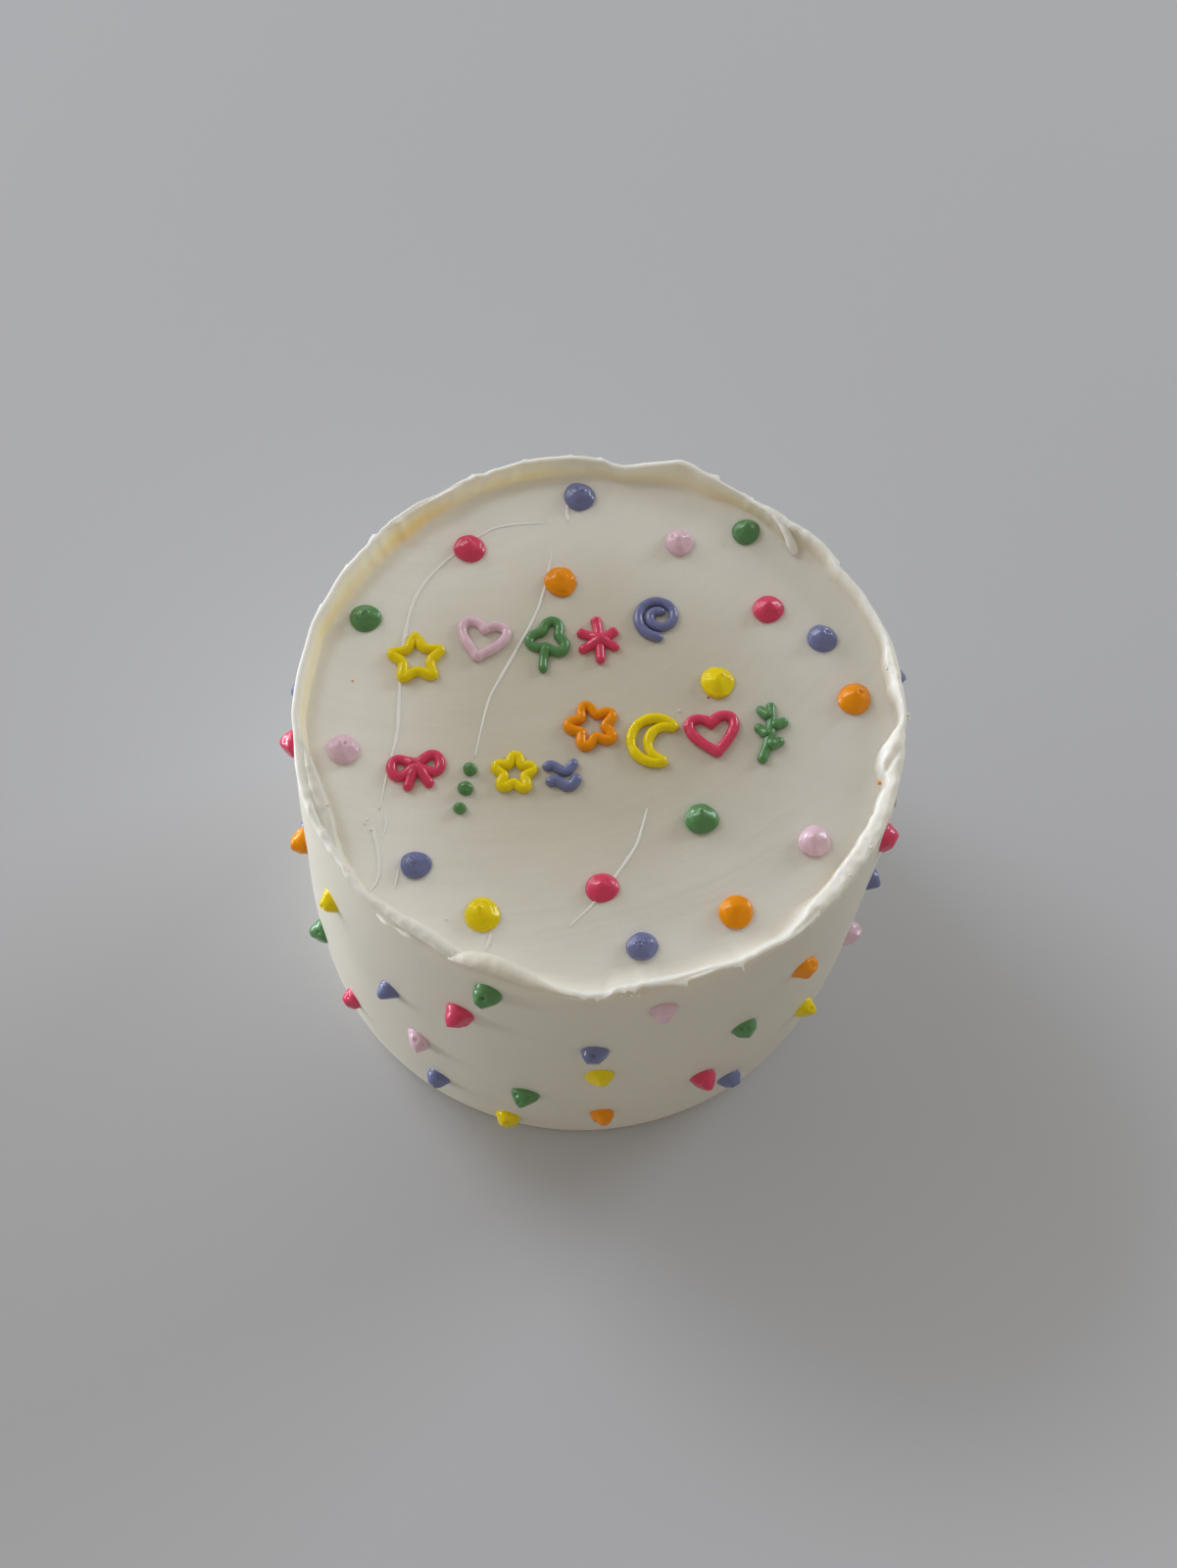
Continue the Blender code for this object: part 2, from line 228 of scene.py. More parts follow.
def makePiece(name, skins, material, slot, marks=None):
    # One mesh of several skins; marks are values per point, by attribute name
    points, loops, sizes, offset = [], [], [], 0
    for skinPoints, squares, fans in skins:
        points.append(skinPoints)
        for faces in (squares, fans):
            loops.append((faces + offset).ravel())
            sizes.append(np.full(len(faces), faces.shape[1]))
        offset += len(skinPoints)
    points, loops, sizes = np.concatenate(points), np.concatenate(loops), np.concatenate(sizes)
    mesh = bpy.data.meshes.new(name)
    mesh.vertices.add(len(points))
    mesh.vertices.foreach_set("co", points.astype(np.float32).ravel())
    mesh.loops.add(len(loops))
    mesh.loops.foreach_set("vertex_index", loops.astype(np.int32))
    mesh.polygons.add(len(sizes))
    mesh.polygons.foreach_set("loop_start", (np.cumsum(sizes) - sizes).astype(np.int32))
    mesh.update(calc_edges=True)
    mesh.validate()
    for mark, values in (marks or {}).items():
        mesh.attributes.new(mark, "FLOAT", "POINT").data.foreach_set("value", values.astype(np.float32))
    mesh.shade_smooth()
    mesh.materials.append(material)
    piece = bpy.data.objects.new(name, mesh)
    bpy.context.scene.collection.objects.link(piece)
    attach(piece, "root")
    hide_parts("cake")
    triangles = int((sizes - 2).sum())
    print(f"{name}: {triangles} triangles")


# Cream body

cream = {
    "footRadius": 74.3 * mm,
    "wallRadius": 77.2 * mm,
    "topHeight": 111 * mm,
    "lean": 3.5 * mm,  # how far the top's centre stands along +X from the foot's
    "footHeight": 40 * mm,  # below it the side draws in
    "wallWaves": ((0.25 * mm, 3, 40), (0.2 * mm, 7, 0)),  # size, waves in a turn, start in degrees
    "around": 1080,
    "finerFrom": -100,  # degrees: from here to finerTo the points stand closer together
    "finerTo": 80,
    "wallRows": 15,
    "rimRows": 52,
    "topRows": 17,
    "rimBlend": 0.9,  # degrees on both sides over which the rim's stations are rounded off
    "toothDrop": 0.45,  # degrees over which a torn point drops back
    "rimSlant": (-8, 38, 0.24),  # where its band slants down to the inside: middle, half spread, strength
    "leastRough": 0.10,  # anywhere on the rim
    "leastPaintedWarmLight": 0.12,  # painted warm light anywhere in the hollow behind it
    # painted warm light at the foot, standing in for light bounced up from below
    "footPaintedWarmLight": 0.45,
    "paintedLightFootHeight": 22 * mm,  # how high the foot's painted light reaches
}
# How far the side swells out: all round, more at its left and right, and at the foot
belly = {
    "allRound": 1.25 * mm,
    "places": ((-18, 42, 1.05 * mm), (-162, 42, 0.945 * mm)),
    "foot": 0.6 * mm,
    "full": 45 * mm,  # the height of the full swell
    "rimFrom": 92 * mm,  # from here up it draws in again
    "rimOver": 20 * mm,
    "rimDraw": 0.75,
}
# Waves that make rim and wall uneven: size, seed, fewest and most in a turn; the rough ones only show at
# roughPlaces
creamWaves = {
    "radius": (0.12 * mm, 11, 14, 40),
    "roughRadius": (0.14 * mm, 12, 60, 150),
    "rise": (0.14 * mm, 13, 10, 36),
    "roughRise": (0.16 * mm, 14, 50, 150),
    "roughBand": (0.22 * mm, 15, 30, 90),
    "slope": (0.3 * mm, 16, 6, 24),
    "wall": (0.08 * mm, 17, 12, 30),
}
# Small relief on the rim's rough places: long smears round it, and lumps. It grows from one station of the
# cross-section over so many stations, and fades towards another
rimRelief = {"smear": 0.14 * mm, "smearLength": 7 * mm, "smearWidth": 1.4 * mm, "smearSeed": 21,
             "lump": 0.16 * mm, "lumpSize": 1.4 * mm, "lumpSeed": 23, "from": (2.2, 1.6), "to": (10.5, 3)}
# Tones across the rim, as middle and half spread in stations of its cross-section: a painted warm glow in the
# hollow behind the rim, and a painted highlight on the crest. At the highlight's places the crest's tone lies
# further in and is wider, by the pair after it. The top's tone has its first station and its growth, so the
# slope behind the rim takes the top's painted paler edge. The last entry is how pale the foot is painted
rimTones = {"paintedWarmLight": (10.4, 1.6), "crest": (5.2, 2.2), "paintedHighlightMore": (1.6, 1.4), "topside": (6, 3),
            "foot": 0.8}
# Faint swells on the flat top (height, spacing, added to the seed) and rings that the spatula's sweep leaves
topSwells = {"layers": ((0.30 * mm, 26 * mm, 0), (0.06 * mm, 10 * mm, 1)), "seed": 3,
             "sweep": 0.08 * mm, "sweepCentre": (-30 * mm, 90 * mm), "sweepWidth": 7 * mm}

# The rim all round: degrees, then in mm the crest's outer radius, its rise above the flat top, the width of
# its band and of the slope behind it
rimStations = (
    (-176, 78.6, 5.7, 1.5, 1.7), (-171, 78.4, 5.7, 2.0, 1.6), (-166, 78.6, 5.6, 3.4, 1.3),
    (-160, 79.0, 5.4, 4.6, 1.2), (-155, 79.0, 5.2, 4.5, 1.2), (-150, 78.6, 5.3, 3.2, 1.6),
    (-145, 78.2, 5.4, 1.6, 2.0), (-141, 78.4, 5.5, 1.2, 2.2), (-136, 78.2, 5.4, 1.2, 2.2),
    (-132, 77.7, 5.2, 1.7, 2.0), (-128, 77.3, 4.9, 2.6, 1.5), (-123, 76.7, 4.6, 2.9, 1.3),
    (-118, 76.6, 4.3, 2.5, 1.3), (-114, 76.2, 4.2, 2.4, 1.3), (-110, 75.8, 4.2, 3.0, 1.3),
    (-104, 76.0, 4.4, 2.4, 2.0), (-99, 76.6, 4.6, 1.4, 3.4), (-95, 77.8, 4.8, 1.2, 5.0),
    (-91.5, 78.5, 4.9, 1.2, 6.0), (-88, 78.3, 4.9, 1.2, 6.4), (-84, 76.9, 5.0, 1.2, 6.4),
    (-80, 76.2, 5.1, 1.4, 6.2), (-76, 76.4, 5.2, 1.7, 5.6), (-71, 76.6, 5.3, 1.9, 5.2),
    (-66, 76.2, 5.2, 1.4, 5.6), (-62, 77.2, 5.2, 1.3, 6.2), (-58, 77.3, 5.2, 1.4, 6.4),
    (-53, 77.7, 5.3, 1.5, 6.4), (-48, 78.0, 5.5, 2.4, 4.8), (-44, 77.4, 5.5, 3.6, 2.4),
    (-40, 77.3, 5.5, 4.3, 1.0), (-35, 77.4, 5.4, 4.3, 0.7), (-30, 77.7, 5.5, 4.7, 0.6),
    (-26, 77.9, 5.6, 4.7, 0.6), (-22, 78.0, 5.6, 4.3, 0.5), (-18.6, 77.9, 5.6, 4.3, 0.5),
    (-15, 77.6, 5.6, 3.9, 0.5), (-12.6, 77.6, 5.7, 2.9, 0.4), (-11.2, 77.7, 5.7, 4.2, 0.4),
    (-9, 77.9, 5.8, 5.4, 0.4), (-6, 77.9, 5.8, 5.9, 0.4), (-4.2, 77.8, 5.8, 5.2, 0.4),
    (-2.5, 77.8, 5.8, 3.7, 0.4), (-0.8, 77.8, 5.8, 2.2, 0.4), (1, 77.9, 5.9, 1.3, 0.4),
    (3.5, 77.9, 5.9, 1.1, 0.4), (5.8, 78.0, 5.9, 2.0, 0.4), (8.2, 78.1, 5.8, 2.8, 0.4),
    (10.6, 78.2, 5.8, 2.4, 0.3), (11.8, 78.2, 5.8, 2.9, 0.4), (13.5, 78.3, 5.8, 3.0, 0.5),
    (16.7, 78.4, 5.8, 2.1, 0.5), (18.5, 78.3, 5.7, 1.2, 0.4), (21.5, 78.0, 5.6, 0.8, 0.4),
    (26, 77.8, 5.5, 0.8, 0.4), (30, 77.8, 5.4, 0.9, 0.5), (33.5, 77.3, 5.3, 0.9, 0.6),
    (37, 76.9, 5.2, 0.9, 0.8), (40.5, 77.9, 5.3, 1.0, 1.0), (44, 78.2, 5.5, 1.2, 1.6),
    (47.5, 78.1, 5.5, 1.6, 1.4), (51, 77.4, 5.4, 2.2, 1.4), (54.5, 77.4, 5.3, 2.0, 1.0),
    (57, 77.2, 4.8, 1.2, 0.8), (60, 77.0, 4.2, 0.9, 0.5), (63, 77.4, 4.4, 0.8, 0.5),
    (66, 77.6, 4.9, 0.9, 0.8), (68.5, 77.9, 5.5, 1.0, 2.4), (71.5, 78.3, 6.0, 1.0, 3.2),
    (74, 79.5, 6.3, 1.2, 4.4), (76.5, 79.9, 6.4, 1.4, 4.8), (80, 78.3, 5.8, 1.5, 2.6),
    (84, 76.9, 4.9, 1.6, 1.2), (87.5, 75.9, 4.5, 1.4, 1.2), (90, 76.9, 4.7, 1.2, 1.6),
    (93, 78.0, 5.1, 1.2, 1.8), (97, 78.5, 5.4, 1.2, 1.8), (102, 78.7, 5.6, 1.2, 1.5),
    (108, 78.9, 5.7, 1.1, 1.3), (116, 78.8, 5.7, 1.1, 1.2), (124, 78.6, 5.8, 1.4, 1.2),
    (130, 79.1, 5.9, 1.7, 2.0), (134, 79.1, 5.9, 1.5, 3.0), (139, 79.1, 5.9, 1.3, 3.6),
    (145, 79.0, 5.8, 1.2, 3.9), (151, 78.9, 5.8, 1.2, 4.0), (157, 78.9, 5.8, 1.2, 3.2),
    (163, 78.8, 5.8, 1.3, 2.4), (170, 78.6, 5.7, 1.3, 1.9), (177, 78.5, 5.7, 1.4, 1.7),
)
# Torn points of the crest: degrees of the tip, degrees over which it grows (below 0 from lower angles), and
# how many mm further out it stands
rimTeeth = (
    (68.3, 4.0, 1.5), (60.3, 4.5, 1.1), (-72.4, -6.0, 1.4), (-61.8, -1.6, 1.0), (-63.0, 1.2, 0.5),
    (-81.8, -1.8, 0.9), (-83.6, -1.2, 0.7), (-88.6, 2.6, 0.8), (-90.7, -2.0, 0.5), (141.5, 2.6, 0.9),
    (-44.5, -3.0, 0.5), (52.5, 2.0, 0.5), (37.8, 4.0, 0.7), (136, -1.5, 0.4), (118, 3.0, 0.6),
    (107.5, -2.5, 0.5), (98, 2.5, 0.4), (92.5, -1.5, 0.4), (160, 3.0, 0.4), (150, 2.0, 0.35),
)
# Ridges (height above 0) and grooves (below 0) along the rim: height and half width in mm, then places as
# degrees and radius in mm
rimLines = (
    (-0.35, 0.80, ((17, 76.8), (13, 76.0), (8, 75.8), (4, 76.6))),
    (-0.30, 0.80, ((32, 76.4), (27, 76.2), (23, 76.5))),
    (-0.45, 0.60, ((-5.5, 76.6), (-7.5, 75.4), (-9.5, 74.2), (-12.5, 73.4))),
    (0.35, 0.90, ((-3.0, 75.9), (-6.0, 74.2), (-9.0, 72.9), (-12.0, 72.7))),
    (-0.25, 1.30, ((-17, 75.6), (-23, 76.1), (-30, 75.7), (-36, 75.2), (-41, 75.4))),
    (-0.7, 0.60, ((-43.2, 76.2), (-46.5, 76.7), (-50.5, 77.2))),
    (-0.8, 0.60, ((-150, 76.6), (-154.5, 76.4), (-158, 76.8))),
    (-0.4, 0.60, ((-160, 76.9), (-166, 76.9), (-171, 77.2))),
    (-0.4, 0.60, ((-66, 75.6), (-70, 75.5), (-74, 76.2))),
    (-0.4, 0.60, ((-97, 76.8), (-102.5, 77.2), (-107.5, 76.3))),
    (-0.5, 0.50, ((120, 77.8), (127, 78.2), (136, 78.1), (142, 78.3))),
    (-0.4, 0.60, ((44.5, 76.6), (41.5, 75.9), (38.5, 75.6))),
)
# Where the cream is a little rough: middle and half spread in degrees, strength
roughPlaces = (
    (60, 5, 0.5), (47, 9, 0.5), (10, 12, 0.35), (-10, 7, 0.4), (-32, 14, 0.6), (-48, 5, 0.5), (-62, 4, 0.6),
    (-84, 7, 0.9), (-127, 6, 0.3), (-141, 5, 0.9), (-156, 8, 0.5), (139, 8, 0.8), (112, 12, 0.5),
    (92, 7, 0.8),
)
# Where the hollow behind the rim is painted buttery, a painted warm glow of light through the thin rim and
# bounced in the hollow; and where the rim's inner face is painted as pale as its crest, a painted highlight
paintedWarmLightPlaces = (
    (134, 9, 0.95), (158, 11, 0.55), (180, 12, 0.35), (108, 10, 0.4), (84, 8, 0.25), (64, 8, 0.35),
    (-36, 9, 0.35), (12, 14, 0.15),
)
paintedHighlightPlaces = ((2, 36, 1.0), (84, 6, 0.8), (-46.5, 4, 0.8), (-59, 3.5, 0.7), (-71, 4, 0.7))


def rimAt(angle):
    # Crest radius, crest rise, band width and slope width: straight between the stations, then rounded off
    stations = np.array(rimStations)
    turn = np.concatenate([stations[:, 0] - 360, stations[:, 0], stations[:, 0] + 360])
    shape = []
    for k in range(1, 5):
        value = np.tile(stations[:, k], 3)
        near = [np.interp(angle + away, turn, value) for away in np.linspace(-1, 1, 7) * cream["rimBlend"]]
        shape.append(np.mean(near, axis=0) * mm)
    return shape


def toothAt(angle):
    # Each tooth grows slowly to its tip and drops back at once
    reach = np.zeros_like(angle)
    for tip, growth, out in rimTeeth:
        away = awayFrom(angle, tip) * np.sign(growth)
        slow = np.clip(1 - away / abs(growth), 0, 1) ** 2
        quick = np.clip(1 + away / cream["toothDrop"], 0, 1)
        reach += out * mm * np.where(away > 0, slow, quick)
    return reach


def wavesAt(angle, kind):
    # One entry of creamWaves as a distance at each angle
    size, seed, fewest, most = creamWaves[kind]
    return size * waver(angle, seed, fewest, most)


def lineRelief(angle, radius):
    # Each line's height times a bell of the distance to it, fading out at both ends
    perDegree = 76 * mm * np.radians(1)
    total = np.zeros(np.broadcast(angle, radius).shape)
    for height, half, places in rimLines:
        path = smoothThrough(places, 6 * len(places))
        middle = path[:, 0].mean()
        x = awayFrom(angle, middle) * perDegree
        lineX, lineY = (path[:, 0] - middle) * perDegree, path[:, 1] * mm
        best, share = np.full(total.shape, 1.0), np.zeros(total.shape)
        for i in range(len(path) - 1):
            stepX, stepY = lineX[i + 1] - lineX[i], lineY[i + 1] - lineY[i]
            along = (x - lineX[i]) * stepX + (radius - lineY[i]) * stepY
            t = np.clip(along / (stepX * stepX + stepY * stepY), 0, 1)
            away = np.hypot(x - lineX[i] - t * stepX, radius - lineY[i] - t * stepY)
            nearer = away < best
            best = np.where(nearer, away, best)
            share = np.where(nearer, (i + t) / (len(path) - 1), share)
        fade = np.sin(np.pi * np.clip(share, 0.02, 0.98)) ** 0.6
        total += height * mm * fade * np.exp(-(best / (half * mm)) ** 2)
    return total


def wallRadius(angle, height):
    # The even side: drawn in a little at the foot, upright above, with faint broad waves
    up = np.clip(height / cream["footHeight"], 0, 1)
    wave = sum(size * np.sin(np.radians(turns * angle + start)) for size, turns, start in cream["wallWaves"])
    return cream["footRadius"] + (cream["wallRadius"] - cream["footRadius"]) * np.sqrt(up) + wave * up


def bellyAt(angle, height):
    # How far the cream stands out beyond the even side: little at the foot, most in the upper half, less
    # again under the rim
    up = np.clip(height / belly["full"], 0, 1)
    under = np.clip((height - belly["rimFrom"]) / belly["rimOver"], 0, 1)
    swell = belly["allRound"] + bells(angle, belly["places"]).sum(0)
    return (swell * np.sqrt(up) + belly["foot"] * (1 - up)) * (1 - belly["rimDraw"] * under * under)


def leaning(points):
    # Higher points stand further along +X
    moved = np.array(points, float)
    moved[..., 0] += cream["lean"] * moved[..., 2] / cream["topHeight"]
    return moved


def topRelief(x, y):
    # Faint swells and the sweep of the spatula on the flat top; x and y from its centre
    place = np.stack([x, y, np.zeros_like(x)], -1)
    centreX, centreY = topSwells["sweepCentre"]
    rings = np.sin(np.hypot(x - centreX, y - centreY) / topSwells["sweepWidth"])
    return layered(place, topSwells["layers"], topSwells["seed"]) + topSwells["sweep"] * rings


def anglesRound():
    # The columns' angles: twice as close between finerFrom and finerTo
    even = np.linspace(-180, 180, 3601)
    finer = (even > cream["finerFrom"]) & (even < cream["finerTo"])
    share = np.cumsum(np.where(finer, 2.0, 1.0))
    share = (share - share[0]) / (share[-1] - share[0])
    return np.interp(np.arange(cream["around"]) / cream["around"], share, even)


def ringsOf(pairs):
    # Reach and height of each ring, side by side
    return np.array([np.stack(pair, -1) for pair in pairs])


def rimSection(angle, rough, wallTop):
    # The rim's cross-section at each angle, as stations of reach and height from the top of the wall over the
    # crest to the flat top; also where the flat top begins
    radius, rise, band, slope = rimAt(angle)
    radius = radius + wavesAt(angle, "radius") + rough * wavesAt(angle, "roughRadius")
    rise = rise + wavesAt(angle, "rise") + rough * wavesAt(angle, "roughRise")
    band = band + rough * wavesAt(angle, "roughBand")
    slope = slope + wavesAt(angle, "slope")
    tooth = toothAt(angle)
    top = cream["topHeight"]
    crest = top + rise
    inner = radius - band
    lip = np.clip(band / (3 * mm), 0.35, 1.1) * mm  # a wide band has rounder edges
    middle, spread, strength = cream["rimSlant"]
    dip = strength * bell(angle, middle, spread)
    shoulder = wallRadius(angle, wallTop) + bellyAt(angle, wallTop)
    stations = ringsOf([
        (shoulder, wallTop),
        (0.6 * shoulder + 0.4 * radius, top + 0.40 * rise),
        (radius - 0.25 * mm + 0.3 * tooth, top + 0.66 * rise),
        (radius + 0.02 * mm + tooth, crest - 1.0 * lip - 0.3 * tooth),  # the crest's outer edge
        (radius - 0.22 * lip + 0.8 * tooth, crest - 0.28 * lip - 0.2 * tooth),
        (radius - 0.30 * band - 0.2 * mm, crest),  # the band
        (radius - 0.70 * band, crest - (0.03 + 0.40 * dip) * band),
        (inner + 0.10 * band, crest - 0.28 * lip - (0.06 + 0.60 * dip) * band),
        (inner - 0.04 * slope, crest - 0.9 * lip - (0.12 + 0.65 * dip) * band),
        (inner - 0.20 * slope, top + 0.50 * rise),  # the slope behind it
        (inner - 0.42 * slope, top + 0.25 * rise),
        (inner - 0.70 * slope, top + 0.07 * rise),
        (inner - slope, np.full_like(slope, top)),
        (inner - 1.15 * slope - 0.4 * mm, np.full_like(slope, top)),
    ])
    return stations, inner - slope


def creamMarks(angle, station, rimRows, wallRows, wallHeight, ringCount):
    # Tones from 0 to 1 on each ring: a painted warm glow in the hollow behind the rim and at the foot, a
    # painted highlight on the crest, painted paleness at the foot, and what belongs to the top. Two more
    # values are for the poles
    paintedWarmLight, crest, topside = np.zeros((3, ringCount, len(angle)))
    # a painted warm glow in the hollow behind the rim and at the foot, standing in for light through the rim
    # and bounced light
    warm = cream["leastPaintedWarmLight"] + bells(angle, paintedWarmLightPlaces).sum(0)
    middle, spread = rimTones["paintedWarmLight"]
    paintedWarmLight[rimRows] = np.exp(-((station - middle) / spread) ** 2) * warm
    paintedWarmLight[:4] = cream["footPaintedWarmLight"]
    # a painted highlight on the crest, wider and further in at its places
    wide = bells(angle, paintedHighlightPlaces).max(0)
    (middle, spread), (further, wider) = rimTones["crest"], rimTones["paintedHighlightMore"]
    crest[rimRows] = np.exp(-((station - middle - further * wide) / (spread + wider * wide)) ** 2)
    # painted light: the foot painted paler, standing in for light bounced up from below
    crest[wallRows] = rimTones["foot"] * np.clip(1 - wallHeight / cream["paintedLightFootHeight"], 0, 1) ** 1.5
    start, grow = rimTones["topside"]
    topside[rimRows] = np.clip((station - start) / grow, 0, 1)
    topside[rimRows.stop:] = 1
    return {
        "paintedWarmLight": np.append(paintedWarmLight.ravel(), (cream["footPaintedWarmLight"], 0)),
        "crest": np.append(crest.ravel(), (0, 0)),
        "topside": np.append(topside.ravel(), (0, 1)),
    }


def creamBody():
    # Rings from the foot up the wall, over the rim and across the top to the centre
    angle = anglesRound()
    flat = np.zeros_like(angle)
    top = cream["topHeight"]
    rough = cream["leastRough"] + bells(angle, roughPlaces).sum(0)

    wallTop = top + 0.3 * mm + flat
    share = np.linspace(0, 1, cream["wallRows"])[:, None] ** 1.15  # rows stand closer near the foot
    wallHeight = share * wallTop
    wallReach = wallRadius(angle, wallHeight) + bellyAt(angle, wallHeight)
    wallReach = wallReach + wavesAt(angle, "wall") * np.sin(np.pi * share)
    clear = 1.2 * mm * (1 - share) ** 8  # the lowest row stands clear of the foot's soft edge
    wall = np.stack([wallReach, wallHeight + clear], -1)
    footReach = cream["footRadius"] + bellyAt(angle, flat)
    foot = ringsOf([(footReach - 1.0 * mm, flat), (footReach - 0.25 * mm, flat + 0.3 * mm)])

    stations, topEdge = rimSection(angle, rough, wallTop)
    rim = smoothThrough(stations, cream["rimRows"])
    station = np.linspace(0, len(stations) - 1, cream["rimRows"])[:, None]
    across = np.linspace(1, 0, cream["topRows"] + 1)[1:-1, None]
    middle = np.stack([rim[-1, :, 0] * across, np.full((len(across), len(angle)), top)], -1)
    profile = np.concatenate([foot, wall, rim[1:], middle])
    points = turned(profile[..., 0], angle, profile[..., 1])

    # relief on the rim: its ridges and grooves, long soft smears, and small lumps where it is rough
    normal = unit(np.cross(np.roll(points, -1, 1) - np.roll(points, 1, 1), np.gradient(points, axis=0)))
    rimStart = len(foot) + len(wall) - 1
    rimRows = slice(rimStart, rimStart + cream["rimRows"])
    (start, grow), (end, fade) = rimRelief["from"], rimRelief["to"]
    onBand = np.clip((station - start) / grow, 0, 1) * np.clip((end - station) / fade, 0, 1)
    length = np.cumsum(np.linalg.norm(np.diff(rim, axis=0, prepend=rim[:1]), axis=-1), axis=0)
    smears = cream["wallRadius"] / rimRelief["smearLength"]
    smearPlace = turned(smears, angle, length / rimRelief["smearWidth"])
    uneven = rimRelief["smear"] * lumps(smearPlace, 1.0, rimRelief["smearSeed"])
    uneven += rimRelief["lump"] * lumps(points[rimRows], rimRelief["lumpSize"], rimRelief["lumpSeed"])
    relief = onBand * (lineRelief(angle, rim[..., 0]) + rough * uneven)
    points[rimRows] += normal[rimRows] * relief[..., None]

    # relief on the top, fading out where the slope begins
    x, y = points[..., 0], points[..., 1]
    fade = np.clip((topEdge - np.hypot(x, y)) / (6 * mm), 0, 1)
    onTop = (np.arange(len(points)) >= rimRows.stop - 8)[:, None]  # the rim's last rows already lie on the top
    points[..., 2] += np.where(onTop, fade * topRelief(x, y), 0)

    wallRows = slice(len(foot), len(foot) + len(wall))
    marks = creamMarks(angle, station, rimRows, wallRows, wallHeight, len(points))
    centre = np.array([0, 0, top + topRelief(np.zeros(1), np.zeros(1))[0]])
    return skin(leaning(points), leaning(np.zeros(3)), leaning(centre)), marks


# Folds of cream that lie on the rim: how pale each is, a painted highlight, then stations along it as degrees,
# radius, height, width and thickness in mm
creamFolds = {
    "frontRoll": (0.0, (
        (-116.4, 77.0, 113.9, 1.2, 0.9), (-115.2, 76.4, 114.5, 3.0, 1.9), (-112, 75.2, 115.4, 4.9, 2.9),
        (-107.5, 74.6, 115.6, 5.1, 3.1), (-103, 75.2, 115.5, 4.3, 2.7), (-98.5, 76.6, 115.6, 2.5, 1.8),
        (-94, 77.9, 115.7, 0.9, 0.8), (-91.5, 78.3, 115.8, 0.3, 0.3),
    )),
    "leftRoll": (0.7, (
        (-134.5, 77.9, 115.9, 0.4, 0.5), (-131, 76.7, 115.6, 1.9, 1.4), (-126, 75.6, 115.3, 3.6, 2.2),
        (-121, 75.1, 115.0, 3.9, 2.4), (-116, 75.6, 114.4, 3.2, 2.0), (-112, 76.2, 113.4, 1.4, 1.2),
    )),
    "leftSpindle": (0.3, (
        (-171, 76.4, 116.0, 0.3, 0.3), (-166.5, 75.3, 115.9, 2.0, 1.2), (-160.5, 74.9, 115.6, 3.6, 1.9),
        (-155, 74.7, 115.3, 3.7, 2.0), (-150.5, 75.2, 115.3, 2.6, 1.5), (-147, 76.4, 115.7, 0.4, 0.4),
    )),
    "tongue": (1.0, (
        (58, 76.9, 115.3, 0.5, 0.5), (55, 76.3, 115.5, 1.8, 1.5), (52, 75.4, 115.0, 2.1, 1.8),
        (49.6, 74.3, 113.9, 2.3, 1.9), (47.6, 73.3, 112.7, 2.7, 1.7), (46.1, 72.7, 111.9, 1.6, 1.1),
    )),
    "wallTear": (0.9, (
        (-132.5, 78.0, 112.0, 0.3, 0.3), (-130, 77.9, 112.5, 1.7, 1.0), (-127.8, 77.5, 112.9, 1.1, 0.8),
        (-125.4, 77.2, 113.2, 2.0, 1.2), (-123, 76.7, 113.5, 1.5, 1.0), (-121.2, 76.2, 113.7, 0.3, 0.3),
    )),
}
foldShape = {
    "sides": 22,
    "step": 0.34,  # mm between rings
    "perDegree": 1.35,  # mm along the rim
    "slant": np.radians(16),  # how far its flat side tips
    "thinnest": 0.1,  # mm
    "layers": ((0.14 * mm, 2.2 * mm, 0), (0.04 * mm, 0.8 * mm, 40)),
    "tipReach": 0.15 * mm,
}


def foldOfCream(stations, seed):
    # A flattened roll along the stations: rings of an ellipse whose size, place and slant follow them
    degrees = [place[0] for place in stations]
    length = (max(degrees) - min(degrees)) * foldShape["perDegree"]
    path = smoothThrough(stations, int(length / foldShape["step"]) + 12)
    centre = turned(path[:, 1] * mm, path[:, 0], path[:, 2] * mm)
    ahead = unit(np.gradient(centre, axis=0))
    outward = turned(1.0, path[:, 0], 0.0)
    outward = unit(outward - (outward * ahead).sum(1, keepdims=True) * ahead)
    upward = np.cross(ahead, outward)
    upward *= np.sign(upward[:, 2:])
    wide, thick = (np.maximum(path[:, k, None], foldShape["thinnest"]) / 2 * mm for k in (3, 4))
    turn, slant = fullTurn(foldShape["sides"]), foldShape["slant"]
    u, v = np.cos(turn) * wide, np.sin(turn) * thick
    sideways, up = u * np.cos(slant) - v * np.sin(slant), u * np.sin(slant) + v * np.cos(slant)
    rings = centre[:, None] + outward[:, None] * sideways[..., None] + upward[:, None] * up[..., None]
    push = layered(rings, foldShape["layers"], seed) * np.clip(wide / (1.0 * mm), 0, 1)
    rings += unit(rings - centre[:, None]) * push[..., None]
    first = centre[0] - ahead[0] * foldShape["tipReach"]
    last = centre[-1] + ahead[-1] * foldShape["tipReach"]
    return skin(leaning(rings), leaning(first), leaning(last))


